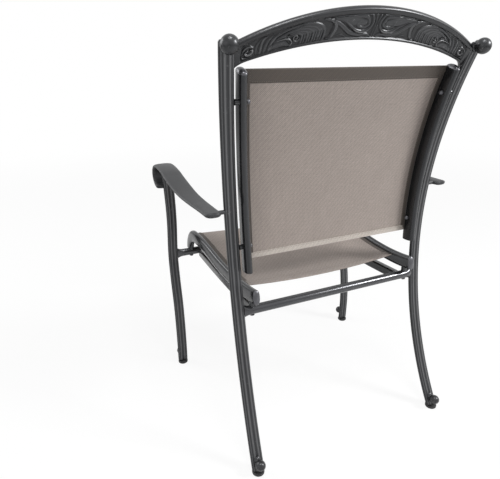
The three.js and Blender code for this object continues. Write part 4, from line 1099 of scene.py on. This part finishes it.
def seat_cloth(u, v):
    """v from 0 at the rear hem to 1 at the front: 8 over the rails' line, sagging by
    11 * (1 - u ** 2), and less towards the nose."""
    shape = np.broadcast(u, v).shape
    flat_u, flat_v = (np.broadcast_to(share, shape).ravel() for share in (u, v))
    at = (SEAT_TAIL + (seat_length - SEAT_TAIL - SEAT_TIP) * flat_v) / seat_length
    line = resample(seat_path, at)
    before, after = (resample(seat_path, np.clip(at + step, 0, 1)) for step in (-0.004, 0.004))
    ahead_of = after - before
    normal = unit(np.stack([0 * at, ahead_of[:, 2], -ahead_of[:, 1]], -1))
    sag = SEAT_SAG * (1 - 0.6 * flat_v**4) * (1 - flat_u**2)
    place = line + normal * (SEAT_OVER - sag)[:, None]
    place[:, 0] = flat_u * (line[:, 0] - edge_inset(SEAT_GRIP))
    return place.reshape(*shape, 3)


def flat_size(cloth):
    """Widest width, length and area of the cloth as cut, in metres: measured on the stretched
    form, plus what is tucked into each rail and turned in at each hem's fold."""
    u, v = np.meshgrid(np.linspace(-1, 1, 60), np.linspace(0, 1, 60))
    place = cloth(u, v)
    across = np.linalg.norm(np.diff(place, axis=1), axis=-1).sum(1) + 2 * TUCK
    length = np.linalg.norm(np.diff(place[:, 30], axis=0), axis=-1).sum() + 2 * FOLD
    return (round(across.max() / 1000, 3), round(length / 1000, 3)), round(across.mean() * length / 1e6, 4)


print("back sling as cut:", flat_size(back_cloth), "seat sling as cut:", flat_size(seat_cloth))

# %% Cloth sheets
SLINGS = {"back": (back_cloth, 473, 397), "seat": (seat_cloth, 440, 396)}  # width and length of the UV


def facing(cloth, u, v):
    """Unit normal from the cloth's own differences: d/du x d/dv."""
    step = 2e-3
    du = cloth(u + step, v) - cloth(u - step, v)
    dv = cloth(u, v + step) - cloth(u, v - step)
    return unit(np.cross(du, dv))


def from_sides(count):
    """How many rows each of a count of rows lies from the nearer side."""
    return np.minimum(np.arange(count), np.arange(count)[::-1])


def place_cloth(sling, layer, u, v, thickness, material, stands_for=()):
    """One closed thin sheet over a grid of u and v: two faces half a thickness each side of
    the cloth, joined by rounded edges. The UV map gives metres across and along."""
    cloth, width, length = SLINGS[sling]
    uu, vv = np.meshgrid(u, v)
    middle, normal = cloth(uu, vv), facing(cloth, uu, vv)
    edge = np.minimum(from_sides(len(u))[None, :], from_sides(len(v))[:, None])
    half = (thickness / 2) * np.where(edge == 0, 0.35, 1.0)[..., None]
    front, back = middle + normal * half, middle - normal * half
    rows, columns = uu.shape
    count = rows * columns
    grid = np.arange(count).reshape(rows, columns)
    quads = np.stack([grid[:-1, :-1], grid[:-1, 1:], grid[1:, 1:], grid[1:, :-1]], -1).reshape(-1, 4)
    rim = np.concatenate([grid[0, :-1], grid[:-1, -1], grid[-1, :0:-1], grid[:0:-1, 0]])
    side = np.stack([np.roll(rim, -1), rim, rim + count, np.roll(rim, -1) + count], -1)
    points = np.vstack([front.reshape(-1, 3), back.reshape(-1, 3)])
    faces = np.vstack([quads, quads[:, ::-1] + count, side])
    shell = outward(points, faces, np.zeros((0, 3), int))
    piece = place_mesh(f"{sling}_sling_{layer}", shell, material, stands_for, sharp=60)
    metres = np.tile(np.stack([uu * width / 2, vv * length], -1).reshape(-1, 2) / 1000, (2, 1))
    corner = np.empty(len(piece.data.loops), int)
    piece.data.loops.foreach_get("vertex_index", corner)
    piece.data.uv_layers.new(name="cloth").data.foreach_set("uv", metres[corner].ravel())
    return piece


sheets = {}
for sling, rows in (("back", 61), ("seat", 90)):
    across, along = np.linspace(-1, 1, 61), np.linspace(0, 1, rows)
    sheets[sling] = place_cloth(sling, "cloth", across, along, 1.1, sling_cloth, [f"{sling}_sling"])

# %% [markdown]
# The hems are the cloth folded over and sewn: a second, thicker layer along each free edge.
# The side sleeves hold the cord that keeps the cloth in its rail, and they show as a narrow
# doubled margin. They could be painted on, but then the edges would look paper thin. The
# photograph shows most doubled parts darker than the sling and the back's lower edge paler,
# so they have cloths of their own. The doubled parts' brown is partly their own tone and
# partly painted shade, and the paler lower edge is painted light, where light falls on its
# curl. Each seam is a row of short stitches, all in one mesh.

# %% Hems and sleeves
BACK_LONG, SEAT_LONG = SLINGS["back"][2], SLINGS["seat"][2]
SLEEVE = np.array([1.0, 0.996, 0.985, 0.97, 0.955, 0.945, 0.941])


def band(start, end):
    """Nine shares from start to end, with one more close to each side to round the fold."""
    inner = np.linspace(start, end, 9)
    close = (end - start) * 0.03
    return np.concatenate([[start, start + close], inner[1:-1], [end - close, end]])


layers = {"back": [], "seat": []}
for sling, layer, start, end, material in (
    ("back", "top_hem", 1 - 25 / BACK_LONG, 1.002, hem_cloth),
    # The back's lower hem takes the pale cloth, which is painted light.
    ("back", "bottom_hem", -0.002, 12 / BACK_LONG, lit_edge_cloth),
    ("seat", "rear_hem", -0.002, 25 / SEAT_LONG, sling_cloth),
    ("seat", "front_hem", 1 - 22 / SEAT_LONG, 1.002, hem_cloth),
):
    across = np.linspace(-0.995, 0.995, 49)
    layers[sling].append(place_cloth(sling, layer, across, band(start, end), 3.0, material))
for side, sign in (("left", 1), ("right", -1)):
    for sling, rows in (("back", 60), ("seat", 80)):
        across, along = np.sort(sign * SLEEVE), np.linspace(0.002, 0.998, rows)
        layers[sling].append(place_cloth(sling, f"sleeve_{side}", across, along, 2.2, hem_cloth))
print("bands:", sum(len(pieces) for pieces in layers.values()))

# %% Stitches
STITCH_PITCH, STITCH_RADIUS, STITCH_LIFT = 4.4, 0.42, 1.5
HEM_SEAM_END, SIDE_SEAM = 0.93, 0.946  # shares of the half width


def stitch_run(cloth, start, end, long):
    """Stitches of 3.2 in steps of 4.4 from start to end, both (u, v). Each is a rod of six
    sides whose radius is 0.42 * sqrt(1.05 - s ** 4), s from -1 to 1, laid on both faces."""
    count = int(long / STITCH_PITCH)
    share = (np.arange(count)[:, None] + 0.5 + np.linspace(-0.36, 0.36, 6)) / count
    u, v = (start[i] + (end[i] - start[i]) * share for i in range(2))
    middle, normal = cloth(u, v), facing(cloth, u, v)
    across = np.cross(unit(np.gradient(middle, axis=1)), normal)
    s = np.linspace(-1, 1, 6)
    radius = STITCH_RADIUS * np.sqrt(np.clip(1.05 - s**4, 0, 1))[None, :, None, None]
    turn = np.arange(6) / 6 * 2 * np.pi
    circle = np.cos(turn)[:, None] * across[:, :, None] + np.sin(turn)[:, None] * normal[:, :, None]
    shells = []
    for face in (1, -1):
        dip = (STITCH_LIFT - 0.5 * s**4)[None, :, None] * face
        rings = (middle + normal * dip)[:, :, None] + radius * circle
        shells += [ring_stack(ring) for ring in rings]
    return shells


hem_seams = {
    "back": [(1 - 22 / BACK_LONG, 430), (10 / BACK_LONG, 400)],
    "seat": [(22 / SEAT_LONG, 390), (1 - 19 / SEAT_LONG, 420)],
}
for sling, side_seam in (("back", 390), ("seat", 420)):
    cloth = SLINGS[sling][0]
    runs = [((-HEM_SEAM_END, v), (HEM_SEAM_END, v), long) for v, long in hem_seams[sling]]
    runs += [((u, 0.01), (u, 0.99), side_seam) for u in (SIDE_SEAM, -SIDE_SEAM)]
    stitches = join(*(shell for run in runs for shell in stitch_run(cloth, *run)))
    layers[sling].append(place_mesh(f"{sling}_sling_seams", stitches, thread))
for sling, sheet in sheets.items():
    flat, area = flat_size(SLINGS[sling][0])
print("stitches sewn")

# %% [markdown]
# ## Floor, light and background
# The chair stands on a plain pale floor before a white background. More light would bleach
# the chair too, so the white comes from what the rays see: camera, glossy and transmission
# rays see white in the world, and the floor is mostly plain white to the camera, wholly so
# from 5 m away. Its own shading keeps the chair's soft shadow. A small strong lamp from the
# picture's right gives the bright streaks.

# %% Floor
FLOOR_REACH = 12


def make_floor():
    """A square of 24 m at height 0. To the camera it is 88 percent plain white up to 1 m from
    the chair's middle and wholly so from 5 m, and it shows the chair's shadow within that."""
    mesh = bpy.data.meshes.new("floor")
    corners = [(FLOOR_REACH * x, FLOOR_REACH * y, 0) for x, y in ((-1, -1), (1, -1), (1, 1), (-1, 1))]
    mesh.from_pydata(corners, [], [(0, 1, 2, 3)])
    floor = bpy.data.objects.new("floor", mesh)
    scene.collection.objects.link(floor)
    material, tree, shader = new_material("pale_floor")
    shader.inputs["Base Color"].default_value = (0.90, 0.90, 0.90, 1)
    shader.inputs["Roughness"].default_value = 0.9
    shader.inputs["Specular IOR Level"].default_value = 0.1
    white = wire(tree, "ShaderNodeEmission", {"Color": (1, 1, 1, 1), "Strength": 1.0})
    camera_ray = wire(tree, "ShaderNodeLightPath").outputs["Is Camera Ray"]
    place = wire(tree, "ShaderNodeTexCoord").outputs["Object"]
    distance = wire(tree, "ShaderNodeVectorMath", {0: place}, operation="LENGTH").outputs["Value"]
    plain_white = remap(tree, distance, 1.0, 5.0, 0.88, 1.0, interpolation_type="SMOOTHSTEP")
    share = calc(tree, "MULTIPLY", camera_ray, plain_white)
    mix = wire(tree, "ShaderNodeMixShader", {0: share, 1: shader.outputs[0], 2: white.outputs[0]})
    tree.links.new(mix.outputs[0], tree.nodes["Material Output"].inputs["Surface"])
    mesh.materials.append(material)
    return floor


print("stage:", make_floor().name)

# %% World and lights
WORLD_LEVEL = 0.26
LAMPS = {  # place, target, size and power
    "right_key": ((-2.0, 1.7, 2.1), (0, 0.1, 0.6), 0.7, 84),
    "left_fill": ((2.6, 1.2, 1.2), (0, 0, 0.5), 1.8, 7),
    "high_top": ((0.2, 0.9, 3.0), (0, 0.1, 0.5), 0.8, 34),
    "front_left": ((2.3, -1.9, 2.0), (0, 0, 0.5), 1.6, 40),
}


def make_world():
    """Grey for the light it gives, white where a camera, glossy or transmission ray sees it."""
    world = bpy.data.worlds.new("studio")
    world.use_nodes = True
    tree = world.node_tree
    tree.nodes.clear()
    path = wire(tree, "ShaderNodeLightPath")
    seen = calc(tree, "MAXIMUM", path.outputs["Is Camera Ray"], path.outputs["Is Glossy Ray"])
    seen = calc(tree, "MAXIMUM", seen, path.outputs["Is Transmission Ray"])
    strength = calc(tree, "MULTIPLY_ADD", seen, 1 - WORLD_LEVEL, WORLD_LEVEL)
    light = wire(tree, "ShaderNodeBackground", {"Color": (1, 1, 1, 1), "Strength": strength})
    out = tree.nodes.new("ShaderNodeOutputWorld")
    tree.links.new(light.outputs[0], out.inputs["Surface"])
    scene.world = world


def soft_light(name, place, target, size, power):
    """A square lamp whose -Z side points from its place to the target."""
    data = bpy.data.lights.new(name, "AREA")
    data.size, data.energy = size, power
    lamp = bpy.data.objects.new(name, data)
    scene.collection.objects.link(lamp)
    back = unit(np.array(place, float) - np.array(target, float))
    side = unit(np.cross([0, 0, 1.0], back))
    lamp.matrix_world = placed(side, np.cross(back, side), back, place)


make_world()
for name, lamp in LAMPS.items():
    soft_light(name, *lamp)
scene.view_settings.view_transform = "Standard"
